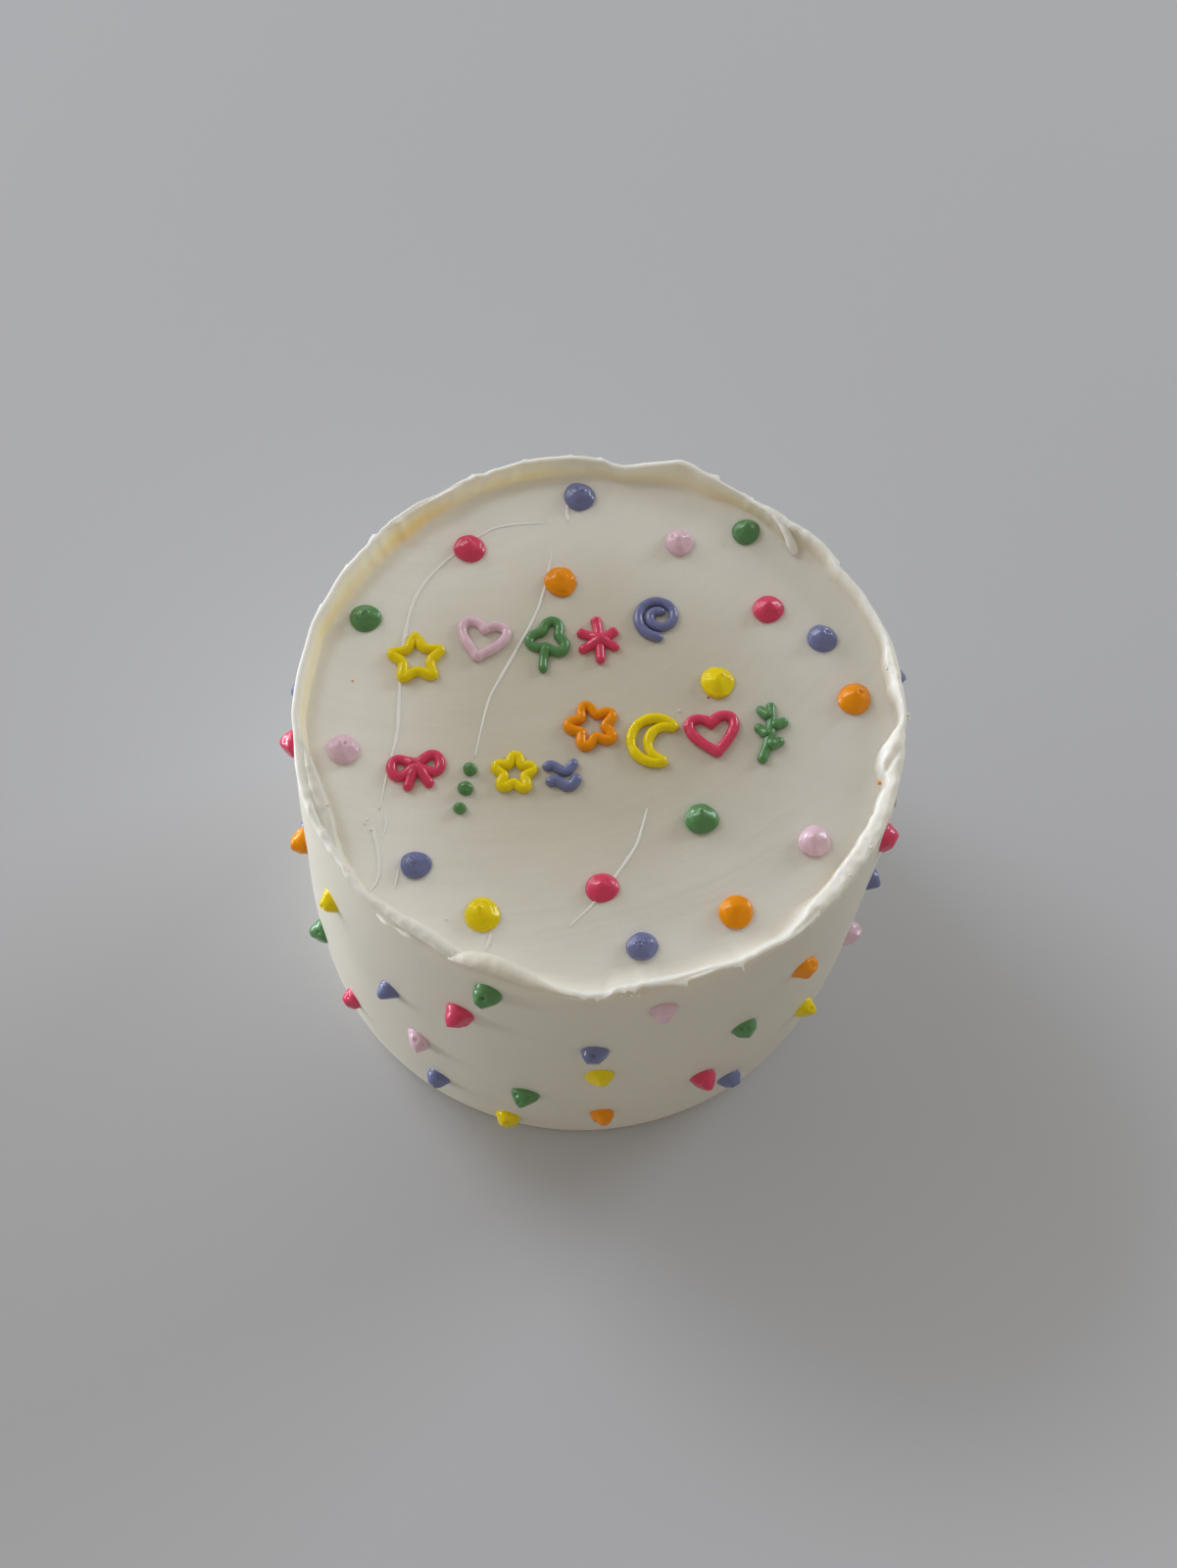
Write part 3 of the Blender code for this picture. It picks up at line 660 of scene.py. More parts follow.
# Small nubs along the torn stretches: degrees, radius, height and size in mm
nubPlaces = (
    (1.8, 78.4, 116.2, 0.60), (1.0, 78.7, 115.9, 0.45), (-61.9, 78.0, 114.6, 0.55),
    (-61.5, 78.2, 113.8, 0.35), (-82.4, 77.6, 114.9, 0.40), (-81.2, 77.7, 114.8, 0.35),
    (-84.1, 77.5, 114.9, 0.45), (-88.2, 78.5, 115.2, 0.45), (-140.2, 77.3, 115.6, 0.40),
    (-141.6, 77.0, 115.3, 0.45), (-142.8, 77.2, 115.8, 0.50), (-138.9, 76.9, 115.2, 0.30),
    (-155.6, 73.6, 115.9, 0.45), (12.1, 75.0, 116.3, 0.40), (-34.5, 76.4, 116.2, 0.35),
    (-27.5, 77.0, 116.4, 0.35), (-121.5, 67.8, 111.0, 0.40), (-148.5, 65.8, 111.0, 0.40),
    (-150.5, 66.3, 111.0, 0.35), (9.5, 20.6, 111.1, 0.35),
)
# Tiny specks of icing that lie on the cream: colour, degrees, radius, height and size in mm
speckPlaces = (
    ("orange", -13.6, 72.9, 115.6, 0.55), ("crimson", 15.7, 28.8, 111.0, 0.30),
    ("orange", 173, 64.9, 111.0, 0.28), ("green", -164.8, 45.0, 111.1, 0.25),
)
pebbleShape = {"rings": 9, "sides": 10, "uneven": 0.35, "seed": 31}


def pebble(angle, radius, height, size, seed):
    # A small uneven ball: a sphere whose radius follows soft noise
    middle = leaning(turned(radius * mm, angle, height * mm))
    up = np.linspace(0, np.pi, pebbleShape["rings"])[1:-1, None]
    turn = fullTurn(pebbleShape["sides"])
    way = np.stack([np.sin(up) * np.cos(turn), np.sin(up) * np.sin(turn), np.cos(up) + 0 * turn], -1)
    reach = size * mm * (1 + pebbleShape["uneven"] * lumps(way * 1.3 + seed, 1.0, pebbleShape["seed"]))
    return skin(middle + way * reach[..., None], middle + (0, 0, size * mm), middle - (0, 0, size * mm))


# Fine ridges that the spatula left on the top: each line's width, then x and y from the top's centre, in mm
spatulaRidges = (
    (1.00, ((-16.8, 59.2), (-26.5, 58), (-33, 55.2), (-41.4, 47.3), (-48.7, 37.1), (-51.7, 24.8), (-52, 5.4),
            (-51.7, -6.9), (-53, -16.3), (-54.4, -28.8))),
    (0.90, ((-55.6, -33.6), (-55.0, -36), (-53.6, -41), (-53.1, -47.4), (-55.2, -51.8))),
    (0.90, ((-14.8, 49.9), (-16.1, 38.8), (-18.5, 29.3), (-23.6, 17.0), (-27.3, 8.4), (-29.2, 2.5),
            (-31.5, -13))),
    (0.85, ((12.8, -24.9), (11.7, -30.5), (10.1, -36), (5.8, -43.7), (0.7, -51.4), (-5.5, -58.5))),
    (0.80, ((-24.6, -60.7), (-24.7, -63), (-25.6, -65.6))),
    (1.00, ((-11.3, 65.8), (-11.2, 62.5), (-10.8, 59.8))),
    (0.60, ((-48.2, -44.8), (-48.8, -50.3))),
    (0.60, ((-53.0, -30.0), (-52.4, -33.0), (-53.0, -36.4))),
    (0.60, ((-57.8, -31.8), (-56.6, -31.2))),
)
ridgeShape = {
    "sides": 10,
    "height": 0.30,  # share of half its width
    "lift": 0.06,  # how far its middle lies above the cream, in the same shares
    "clear": 0.03 * mm,
    "uneven": 0.25,
    "spacing": 3 * mm,
    "fewestRings": 14,
    "ringsPerPlace": 12,
}


def lineRings(path, closed, half, level, rise, sides):
    # Rings round a line on the flat top: half its width to both sides, and that times the rise upwards
    ahead = unit((np.roll(path, -1, 0) - np.roll(path, 1, 0)) if closed else np.gradient(path, axis=0))
    side = np.stack([ahead[:, 1], -ahead[:, 0]], -1)
    turn = fullTurn(sides)
    flatwise = path[:, None] + side[:, None] * (half[:, None] * np.cos(turn))[..., None]
    height = level[:, None] + rise * half[:, None] * np.sin(turn)
    return np.concatenate([flatwise, height[..., None]], -1)


def ridgeLine(width, places, seed):
    # A low rounded line that is mostly sunk in the cream and thins out at both ends
    count = max(ridgeShape["fewestRings"], ridgeShape["ringsPerPlace"] * len(places))
    path = smoothThrough(np.array(places) * mm, count)
    slim = np.sin(np.pi * np.linspace(0.015, 0.985, count)) ** 0.35
    place = np.concatenate([path, np.zeros((count, 1))], 1)
    half = width / 2 * mm * slim * (1 + ridgeShape["uneven"] * lumps(place, ridgeShape["spacing"], seed))
    ground = cream["topHeight"] + topRelief(path[:, 0], path[:, 1])
    level = ground + ridgeShape["lift"] * half + ridgeShape["clear"]
    rings = lineRings(path, False, half, level, ridgeShape["height"], ridgeShape["sides"])
    return skin(leaning(rings), leaning(rings[0].mean(0)), leaning(rings[-1].mean(0)))


# Piped dots on the top: colour, x and y from its centre and width in mm
topDots = (
    ("blue", -8.2, 67.8, 8.5),
    ("crimson", -36.8, 49.6, 8.3),
    ("orange", -12.0, 40.5, 8.7),
    ("green", -62.6, 26.6, 8.0),
    ("pink", 19.2, 54.5, 7.8),
    ("green", 37.1, 58.9, 7.5),
    ("crimson", 43.1, 34.9, 8.1),
    ("blue", 57.4, 26.6, 7.8),
    ("yellow", 30.0, 12.1, 8.9),
    ("orange", 65.6, 9.0, 8.6),
    ("pink", -65.0, -12.4, 8.2),
    ("green", 26.6, -27.4, 8.3),
    ("pink", 54.9, -32.3, 8.1),
    ("blue", -44.1, -43.7, 7.5),
    ("crimson", 2.3, -47.7, 8.0),
    ("yellow", -26.8, -56.3, 8.8),
    ("orange", 35.5, -52.4, 8.6),
    ("blue", 12.6, -62.7, 7.5),
)
# Dots on the side that shows: colour, degrees round from +X, then height, width, rise and the tip's shift
# aside in mm
sideDots = (
    ("blue", 172, 100, 7.6, 4.6, 0.4), ("crimson", -174, 105, 7.9, 5.4, -0.6),
    ("blue", -178, 44, 7.4, 4.6, 0.5), ("orange", -166, 70, 8.0, 6.2, 0.8),
    ("yellow", -147, 86, 7.5, 5.3, 0.7), ("green", -157, 35, 7.6, 5.8, -0.5),
    ("crimson", -143, 26.6, 7.0, 5.0, -0.9), ("blue", -129.5, 70.6, 6.3, 5.2, -0.9),
    ("pink", -123, 48.8, 7.9, 4.9, 1.4), ("blue", -118.5, 25.3, 6.9, 4.9, -0.4),
    ("crimson", -113.2, 86.3, 8.1, 6.0, -0.9), ("green", -108, 106, 7.2, 5.2, -1.2),
    ("green", -99.5, 40.5, 7.7, 5.0, -0.5), ("yellow", -103, 12.8, 7.6, 4.4, -0.1),
    ("blue", -87.5, 79.5, 7.3, 4.9, -1.2), ("yellow", -86, 61.2, 8.2, 4.0, 0.9),
    ("orange", -84, 27, 7.1, 4.6, 0.8), ("pink", -76, 103.4, 7.4, 4.0, -0.4),
    ("crimson", -64, 40.5, 7.6, 5.6, 0.7), ("blue", -56.5, 25.5, 7.0, 4.9, 0.8),
    ("green", -57.5, 69.2, 7.1, 4.8, 1.0), ("orange", -45.5, 87.7, 7.9, 5.0, 1.1),
    ("yellow", -39, 42, 7.0, 5.3, 1.1), ("pink", -22.5, 50, 7.8, 5.6, 0.8),
    ("blue", -21.5, 83.5, 6.6, 5.0, -0.6), ("crimson", -20, 104, 8.2, 5.0, 0.5),
    ("green", -3, 79, 7.4, 4.6, 0.6), ("blue", 15, 104, 7.4, 5.2, -0.7), ("blue", 40, 105, 7.4, 4.8, 0.5),
)
# The side turned away goes on in the same way: degrees, and mm up as shares of the reach
backDots = {"count": 15, "start": 26, "step": 9.4, "lowest": 13, "reach": 84, "firstShare": 0.31,
            "shareStep": 0.618, "width": 7.8, "rise": 4.8, "shiftStep": 4.3,
            "colours": ("yellow", "green", "pink", "crimson", "orange", "blue")}
dotShape = {
    "topRise": 3.3 * mm,
    "sideStretch": 1.06,  # side dots stand out by this much more than their rise says
    "sink": 1.2 * mm,
    "around": 48,
    "rows": 34,
    # radius share and rise share from the sunk foot to the tip
    "topProfile": ((0.82, -1.0), (0.96, -0.14), (1.0, 0.12), (0.98, 0.27), (0.91, 0.42), (0.79, 0.57),
                   (0.62, 0.71), (0.43, 0.83), (0.25, 0.92), (0.10, 0.99)),
    "sideProfile": ((0.86, -1.0), (0.98, -0.1), (1.0, 0.10), (0.98, 0.28), (0.92, 0.46), (0.81, 0.62),
                    (0.66, 0.76), (0.49, 0.88), (0.33, 0.96), (0.16, 1.0)),
    "spiral": 0.045,  # depth of the spiral ridge as a share of the radius, and its turn from foot to tip
    "spiralTurn": 13,
    "oval": 0.035,
    "threeSided": 0.02,
    "slant": 0.10,
    "layers": ((0.12 * mm, 2.2 * mm, 0), (0.04 * mm, 0.9 * mm, 1)),
    "aimHeight": 0.2,  # lumps and dents push away from a point at this share of the rise
    "cutLeft": 0.88,  # how much of what lies past a cut is taken off
}
# How the top dots differ, as the lowest and highest of each draw
topSpread = {
    "droopTo": (95, 175),  # degrees round from +X
    "droop": (0.2, 0.6),  # mm
    "facetTo": (-75, -15),
    "facetTilt": (32, 52),  # degrees from upright
    "facetLeft": (0.80, 0.88),  # share of the reach
    "rise": (0.92, 1.1),
}
# How the side dots differ. Their facets point outwards and then so far aside and up: one at the tip, one on
# the flank that the tip leans away from and one on the other
sideSpread = {
    "sag": (0.2, 1.1),  # mm
    "tipAside": (-0.5, 0.5),
    "tipUp": (-0.7, 0.1),
    "tipLeft": (0.84, 0.93),  # share of the reach
    "nearAside": (0.6, 1.0),
    "nearUp": (-0.4, 0.4),
    "nearLeft": (0.82, 0.92),
    "farAside": (0.7, 1.2),
    "farLeft": (0.88, 0.96),
    "dents": 3,
    "dentDepth": (-0.8, -0.35),  # mm
    "dentSpread": (0.35, 0.7),
}
# Small hollows and bumps (below and above 0) on single top dots: the dot's number, then x, y, depth and
# spread in mm
dotMarks = (
    (7, 1.3, 1.2, -0.8, 0.6), (7, 0.2, -1.2, 0.45, 0.5), (9, 1.3, 1.1, -0.9, 0.5),
    (9, 2.2, 1.0, -0.7, 0.45), (10, 0.6, 0.5, -0.7, 0.35), (10, -0.4, 0.9, 0.4, 0.5),
    (4, -1.7, 0.3, -0.5, 0.4), (4, -1.9, 1.1, -0.5, 0.4), (8, 1.2, 1.6, 0.45, 0.6),
    (15, -0.6, 1.0, 0.6, 0.55), (15, -1.3, 1.9, -0.6, 0.5), (1, -0.3, 1.1, 0.6, 0.5),
    (1, 0.6, 1.6, -0.6, 0.5), (2, -1.0, 1.4, 0.4, 0.6), (0, 0.7, 0.8, 0.6, 0.6), (0, -0.6, 1.5, -0.6, 0.6),
    (5, 0.2, 0.8, 0.6, 0.5), (11, -0.2, 1.0, 0.6, 0.5), (3, 0.1, 0.8, 0.6, 0.5),
)
bubblyDots = {13: 12, 17: 16, 3: 5}  # how many tiny hollows lie near the tip of these dots
bubble = {"height": 3.0, "depth": -0.3, "spread": 0.22, "scatter": 0.75}
markHeight = 2.8  # mm above the cream from which a top dot's marks are aimed


def onTheTop(x, y):
    # A place on the flat top, x and y in mm from its centre
    return np.array([x * mm + cream["lean"], y * mm, cream["topHeight"]])


def pipedDot(foot, outward, width, rise, profile, droop, seed, cuts, dents=()):
    # A dollop turned round its axis: its rings follow the profile, slide towards the droop near the tip, and
    # carry a faint spiral ridge and soft lumps. Dents are bells round an aim, as (aim, depth, spread) in mm;
    # cuts are flat facets, as (direction, share of the reach that is left)
    draw = np.random.default_rng(seed)
    shape = smoothThrough(profile, dotShape["rows"])
    share, level = shape[:, 0, None], shape[:, 1, None]
    outward = np.array(outward, float)
    across = np.array(Vector(outward).orthogonal().normalized())
    along = np.cross(outward, across)
    turn = fullTurn(dotShape["around"])
    spiralStart, ovalStart, threeStart, slantStart = draw.uniform(0, tau, 4)
    up = np.clip(level, 0, 1)
    spiral = dotShape["spiral"] * np.sin(turn + spiralStart + dotShape["spiralTurn"] * up)
    oval = dotShape["oval"] * np.cos(2 * turn + ovalStart)
    oval = oval + dotShape["threeSided"] * np.cos(3 * turn + threeStart)
    reach = share * (1 + spiral * np.sin(np.pi * up) ** 0.7 + oval) * width / 2
    height = np.where(level < 0, level * dotShape["sink"], level * rise)
    height = height + dotShape["slant"] * rise * up * (1 - up) * np.cos(turn + slantStart)
    rings = (foot + outward * height[..., None] + np.array(droop) * (up ** 3)[..., None]
             + across * (reach * np.cos(turn))[..., None] + along * (reach * np.sin(turn))[..., None])
    tip = foot + outward * rise * 0.998 + np.array(droop)
    points = np.concatenate([rings.reshape(-1, 3), [tip]])
    heart = outward * dotShape["aimHeight"] * rise
    aside = unit(points - foot - heart)
    push = layered(points, dotShape["layers"], seed)
    for aim, depth, spread in dents:
        aim = np.array(aim) * mm - heart
        away = np.linalg.norm(aside - unit(aim), axis=-1) * np.linalg.norm(aim)
        push += depth * mm * np.exp(-(away / (spread * mm)) ** 2)
    points += aside * (push * np.clip((points - foot) @ outward / (1 * mm), 0, 1))[:, None]
    for direction, left in cuts:
        direction = unit(np.array(direction))
        over = (points - foot) @ direction
        points -= direction * (dotShape["cutLeft"] * np.maximum(over - over.max() * left, 0))[:, None]
    return skin(points[:-1].reshape(rings.shape), foot - outward * dotShape["sink"], points[-1])


def dotsOnTop(draw):
    # Dollops that droop to the back left and are a little flattened at the front
    dots = []
    for i, (colour, x, y, width) in enumerate(topDots):
        droopTo = draw.uniform(*topSpread["droopTo"])
        droop = turned(1.0, droopTo, 0.0) * draw.uniform(*topSpread["droop"]) * mm
        facetTo = draw.uniform(*topSpread["facetTo"])
        tilt = np.radians(draw.uniform(*topSpread["facetTilt"]))
        cuts = [(turned(np.sin(tilt), facetTo, np.cos(tilt)), draw.uniform(*topSpread["facetLeft"]))]
        dents = [((markX, markY, markHeight), depth, spread)
                 for number, markX, markY, depth, spread in dotMarks if number == i]
        for _ in range(bubblyDots.get(i, 0)):
            bubbleX, bubbleY = droop[:2] / mm + draw.normal(0, bubble["scatter"], 2)
            dents.append(((bubbleX, bubbleY, bubble["height"]), bubble["depth"], bubble["spread"]))
        rise = dotShape["topRise"] * draw.uniform(*topSpread["rise"])
        dots.append((colour, pipedDot(onTheTop(x, y), (0, 0, 1), width * mm, rise, dotShape["topProfile"],
                                      droop, seeds["topDots"] + i, cuts, dents)))
    return dots


def dotsOnSide(draw):
    # Pointed dollops that sag a little, with a facet at the tip and one on each flank
    side = list(sideDots)
    for i in range(backDots["count"]):
        share = (backDots["firstShare"] + backDots["shareStep"] * i) % 1
        height = backDots["lowest"] + backDots["reach"] * share
        colour = backDots["colours"][i % len(backDots["colours"])]
        angle = backDots["start"] + backDots["step"] * i
        shift = np.sin(backDots["shiftStep"] * i)
        side.append((colour, angle, height, backDots["width"], backDots["rise"], shift))
    dots = []
    up = np.array([0, 0, 1])

    def between(name):
        return draw.uniform(*sideSpread[name])

    for i, (colour, angle, height, width, rise, shift) in enumerate(side):
        outward = turned(1.0, angle, 0.0)
        aside = turned(1.0, angle + 90, 0.0)
        foot = leaning(turned(wallRadius(angle, height * mm), angle, height * mm))
        droop = (shift * aside - between("sag") * up) * mm
        away = np.sign(shift) * aside
        cuts = [
            (outward + between("tipAside") * aside + between("tipUp") * up, between("tipLeft")),
            (outward * 0.8 - between("nearAside") * away + between("nearUp") * up, between("nearLeft")),
            (outward * 0.7 + between("farAside") * away - 0.3 * up, between("farLeft")),
        ]
        dents = [(outward * 3.6 + aside * draw.normal(0, 2) + up * draw.normal(0.5, 1.6),
                  between("dentDepth"), between("dentSpread")) for _ in range(sideSpread["dents"])]
        rise = rise * dotShape["sideStretch"] * mm
        dots.append((colour, pipedDot(foot, outward, width * mm, rise, dotShape["sideProfile"], droop,
                                      seeds["sideDots"] + i, cuts, dents)))
    return dots


# Piped ornaments: each path gives x and y about its own middle, in shares of half its height, while t runs
# from 0 to 1

def star(t, points=5, inner=0.46):
    # Straight lines between corners that lie on an outer and an inner circle by turns
    corner = np.arange(2 * points + 1)
    reach = np.where(corner % 2, inner, 1.0)
    turn = np.pi / 2 + np.pi * corner / points
    place = t * 2 * points
    return np.interp(place, corner, reach * np.cos(turn)), np.interp(place, corner, reach * np.sin(turn))


def heart(t):
    # A sine cubed across, and three cosines up
    turn = tau * t
    return np.sin(turn) ** 3, 0.82 * np.cos(turn) - 0.34 * np.cos(2 * turn) - 0.13 * np.cos(3 * turn) + 0.1


def petals(t, count=5, reach=0.78, depth=0.26, raised=0.0):
    # A circle whose radius swells once for each petal
    turn = tau * t
    radius = reach + depth * np.cos(count * turn)
    return radius * np.sin(turn), raised + radius * np.cos(turn)


def clover(t):
    # Three petals above the middle
    return petals(t, 3, 0.50, 0.17, 0.36)


def burstArm(degrees, reach=1.0, bend=0.04):
    # A line through the middle, bent a little to one side
    way = np.radians(degrees)
    return lambda t: (reach * np.sin(way) * (1 - 2 * t) + bend * np.cos(way) * np.sin(np.pi * t),
                      reach * np.cos(way) * (1 - 2 * t) - bend * np.sin(way) * np.sin(np.pi * t))


def spiral(t):
    # The radius grows evenly through one and three quarter turns
    turn = 1.75 * tau * t
    reach = 0.14 + 0.76 * t
    return reach * np.cos(turn), reach * np.sin(turn)


def bowLoop(start):
    # Half of a figure of eight
    def path(t):
        turn = tau * (start + t / 2)
        return 0.98 * np.sin(turn), 0.78 * np.sin(turn) * np.cos(turn) + 0.2
    return path


def ripple(y):
    # A sine wave at this height
    return lambda t: (1.7 * (t - 0.5), y + 0.24 * np.sin(2.5 * np.pi * t))


def crescent(t, reach=0.92, tip=np.radians(50), shift=0.45):
    # Out along a wide arc and back along a narrower one that is shifted aside, through the same two tips
    tipX, tipY = reach * np.cos(tip) - shift, reach * np.sin(tip)
    wide = tip + (tau - 2 * tip) * np.minimum(2 * t, 1)
    inner, start = np.hypot(tipX, tipY), np.arctan2(tipY, tipX)
    narrow = start + (tau - 2 * start) * np.minimum(2 * (1 - t), 1)
    out = t < 0.5
    x = np.where(out, reach * np.cos(wide), shift + inner * np.cos(narrow))
    return x, np.where(out, reach * np.sin(wide), inner * np.sin(narrow))


def stem(t, length=1.9, bend=0.12):
    # From the top straight down, bent aside by half a sine wave
    return bend * np.sin(np.pi * t), length * (0.5 - t)


def through(*places):
    # A smooth path through a few places
    return lambda t: tuple(smoothThrough(places, len(t)).T)


def twig(side, y):
    # A short branch that leaves the stem at this height
    x = 0.12 * np.sin(np.pi * (0.5 - y / 1.9))
    return through((x, y), (x + side * 0.22, y + 0.12), (x + side * 0.42, y + 0.30))


bow = [bowLoop(0), bowLoop(0.5), through((0, 0.2), (-0.25, -0.3), (-0.55, -0.85)),
       through((0, 0.2), (0.25, -0.3), (0.5, -0.85))]
sprig = [stem, twig(-1, 0.45), twig(1, 0.2), twig(-1, -0.1), twig(1, -0.4)]
# Each ornament: colour, x, y and half height in mm, turn in degrees, closed paths, open paths
ornaments = (
    ("yellow", -48.4, 15.1, 7.4, 8, [star], []),
    ("pink", -31.7, 21.7, 6.0, -10, [heart], []),
    ("green", -14.9, 20.2, 8.0, -12, [clover], [through((0.0, 0.0), (0.04, -0.5), (0.16, -0.95))]),
    ("crimson", -1.4, 23.0, 7.2, 8, [], [burstArm(0), burstArm(62, 0.86), burstArm(-60, 0.86)]),
    ("blue", 14.3, 31.0, 7.2, 20, [], [spiral]),
    ("crimson", -45.9, -17.4, 6.4, 12, [], bow),
    ("yellow", -21.1, -16.9, 5.0, 0, [petals], []),
    ("blue", -8.7, -17.0, 5.2, 14, [], [ripple(0.42), ripple(-0.42)]),
    ("orange", -2.0, -2.4, 6.2, 20, [petals], []),
    ("yellow", 14.4, -5.8, 7.0, -14, [crescent], []),
    ("crimson", 29.2, -3.1, 6.0, 12, [heart], []),
    ("green", 42.6, -2.1, 9.6, -8, [], sprig),
)
# Small dots: the knot of the bow, and a column between the ornaments. Colour, x, y, width in mm
smallDots = (("crimson", -46.2, -16.1, 4.4), ("green", -32.4, -16.4, 3.6), ("green", -33.2, -21.8, 3.9),
             ("green", -34.2, -27.4, 3.2))
beadShape = {
    "gauge": 2.7 * mm,
    "sides": 14,
    "step": 0.34 * mm,
    "rise": 0.42,  # its middle above the cream, as a share of its radius
    "layers": ((0.09, 2.6 * mm, 0), (0.05, 1.2 * mm, 1)),  # how much its gauge swells and thins
    "blob": 0.12,  # how much thicker an open line starts, and over what length
    "blobLength": 1.3 * mm,
    "startCap": 1.2 * mm,
    "endCap": 1.5 * mm,
    "smoothings": 40,
    "crossingLift": 0.9 * mm,
    "crossingReach": 1.9 * mm,
    "smallDotRise": 2.4 * mm,
}


def ironed(path, closed, times):
    # Rounds off corners: each point moves to the mean of itself and its neighbours, several times
    for _ in range(times):
        before, after = np.roll(path, 1, 0), np.roll(path, -1, 0)
        if not closed:
            before[0], after[-1] = path[0], path[-1]
        path = 0.25 * before + 0.5 * path + 0.25 * after
    return path


def evenly(path, closed, step):
    # The same path with points at even distances
    run = np.concatenate([path, path[:1]]) if closed else path
    length = np.concatenate([[0], np.cumsum(np.linalg.norm(np.diff(run, axis=0), axis=1))])
    count = max(8, int(round(length[-1] / step)))
    at = np.linspace(0, length[-1], count, endpoint=not closed)
    return np.stack([np.interp(at, length, run[:, k]) for k in range(2)], -1)


def domed(distance, length):
    # The quarter circle of a round end: full width at this length from it
    return np.sqrt(np.clip(1 - (1 - np.clip(distance / length, 0, 1)) ** 2, 0.03, 1))


def bead(path, closed, lifted, seed):
    # A round line of icing, half sunk: its gauge swells and thins a little, and an open one starts in a blob
    # and has round ends
    place = np.concatenate([path, np.zeros((len(path), 1))], 1)
    radius = beadShape["gauge"] / 2 * (1 + layered(place, beadShape["layers"], seed))
    if not closed:
        run = np.arange(len(path)) * beadShape["step"]
        radius = radius * (1 + beadShape["blob"] * np.exp(-(run / beadShape["blobLength"]) ** 2))
        radius = radius * domed(run, beadShape["startCap"]) * domed(run[::-1], beadShape["endCap"])
    level = cream["topHeight"] + beadShape["rise"] * beadShape["gauge"] / 2 + lifted
    rings = lineRings(path, closed, radius, level, 1.0, beadShape["sides"]) + (cream["lean"], 0, 0)
    if closed:
        return skin(rings)
    return skin(rings, rings[0].mean(0), rings[-1].mean(0))


def everyBead():
    # Each ornament's lines as colour and skin; a later line rides up where it crosses an earlier one
    lines = []
    for i, (colour, x, y, half, turnedBy, loops, strokes) in enumerate(ornaments):
        turn = np.radians(turnedBy)
        laid = np.zeros((0, 2))
        for j, shape in enumerate(loops + strokes):
            closed = j < len(loops)
            u, v = shape(np.linspace(0, 1, 240, endpoint=not closed))
            path = np.stack([x + half * (u * np.cos(turn) - v * np.sin(turn)),
                             y + half * (u * np.sin(turn) + v * np.cos(turn))], -1) * mm
            path = evenly(ironed(path, closed, beadShape["smoothings"]), closed, beadShape["step"])
            lifted = np.zeros(len(path))
            if len(laid):
                near = np.linalg.norm(path[:, None] - laid[None], axis=-1).min(1)
                lifted = beadShape["crossingLift"] * np.exp(-(near / beadShape["crossingReach"]) ** 2)
            laid = np.concatenate([laid, path])
            lines.append((colour, bead(path, closed, lifted, seeds["beads"] + 10 * i + j)))
    for i, (colour, x, y, width) in enumerate(smallDots):
        frontFacet = [((0.4, -0.4, 1), 0.9)]
        lines.append((colour, pipedDot(onTheTop(x, y), (0, 0, 1), width * mm, beadShape["smallDotRise"],
                                       dotShape["topProfile"], (0, 0, 0), seeds["smallDots"] + i,
                                       frontFacet)))
    return lines


# Finishes

creamLook = {
    "wall": (0.80, 0.755, 0.64, 1),
    # the top's edge and the slope behind the rim are painted paler, painted light where the rim's shadow
    # falls; the middle is deeper, partly an icing tint and partly painted shade
    "topEdge": (0.885, 0.86, 0.785, 1),
    "topMiddleTintAndShade": (0.685, 0.64, 0.525, 1),
    # a painted warm glow, standing in for light that comes through the thin rim, bounces in its hollow and
    # reaches up onto the foot
    "paintedWarmLight": (0.92, 0.74, 0.39, 1),
    # a painted highlight on the crest, the folds, the nubs and the ridges
    "pale": (0.94, 0.925, 0.865, 1),
    "middleFrom": 28 * mm,  # the middle's deeper tone, partly an icing tint and partly painted shade, fades out between these distances from the axis
    "middleTo": 80 * mm,
    "paintedShadeRight": 1.15,  # painted shade: how much the top darkens in a metre along +X, away from the lights at the left
    "clouds": 34.0,
    "pores": 900.0,
    "strokeCentre": (-0.040, 0.085, 0),  # the spatula's strokes run round this place
    "strokesAcross": 160.0,
    "strokesOutward": 25.0,
}


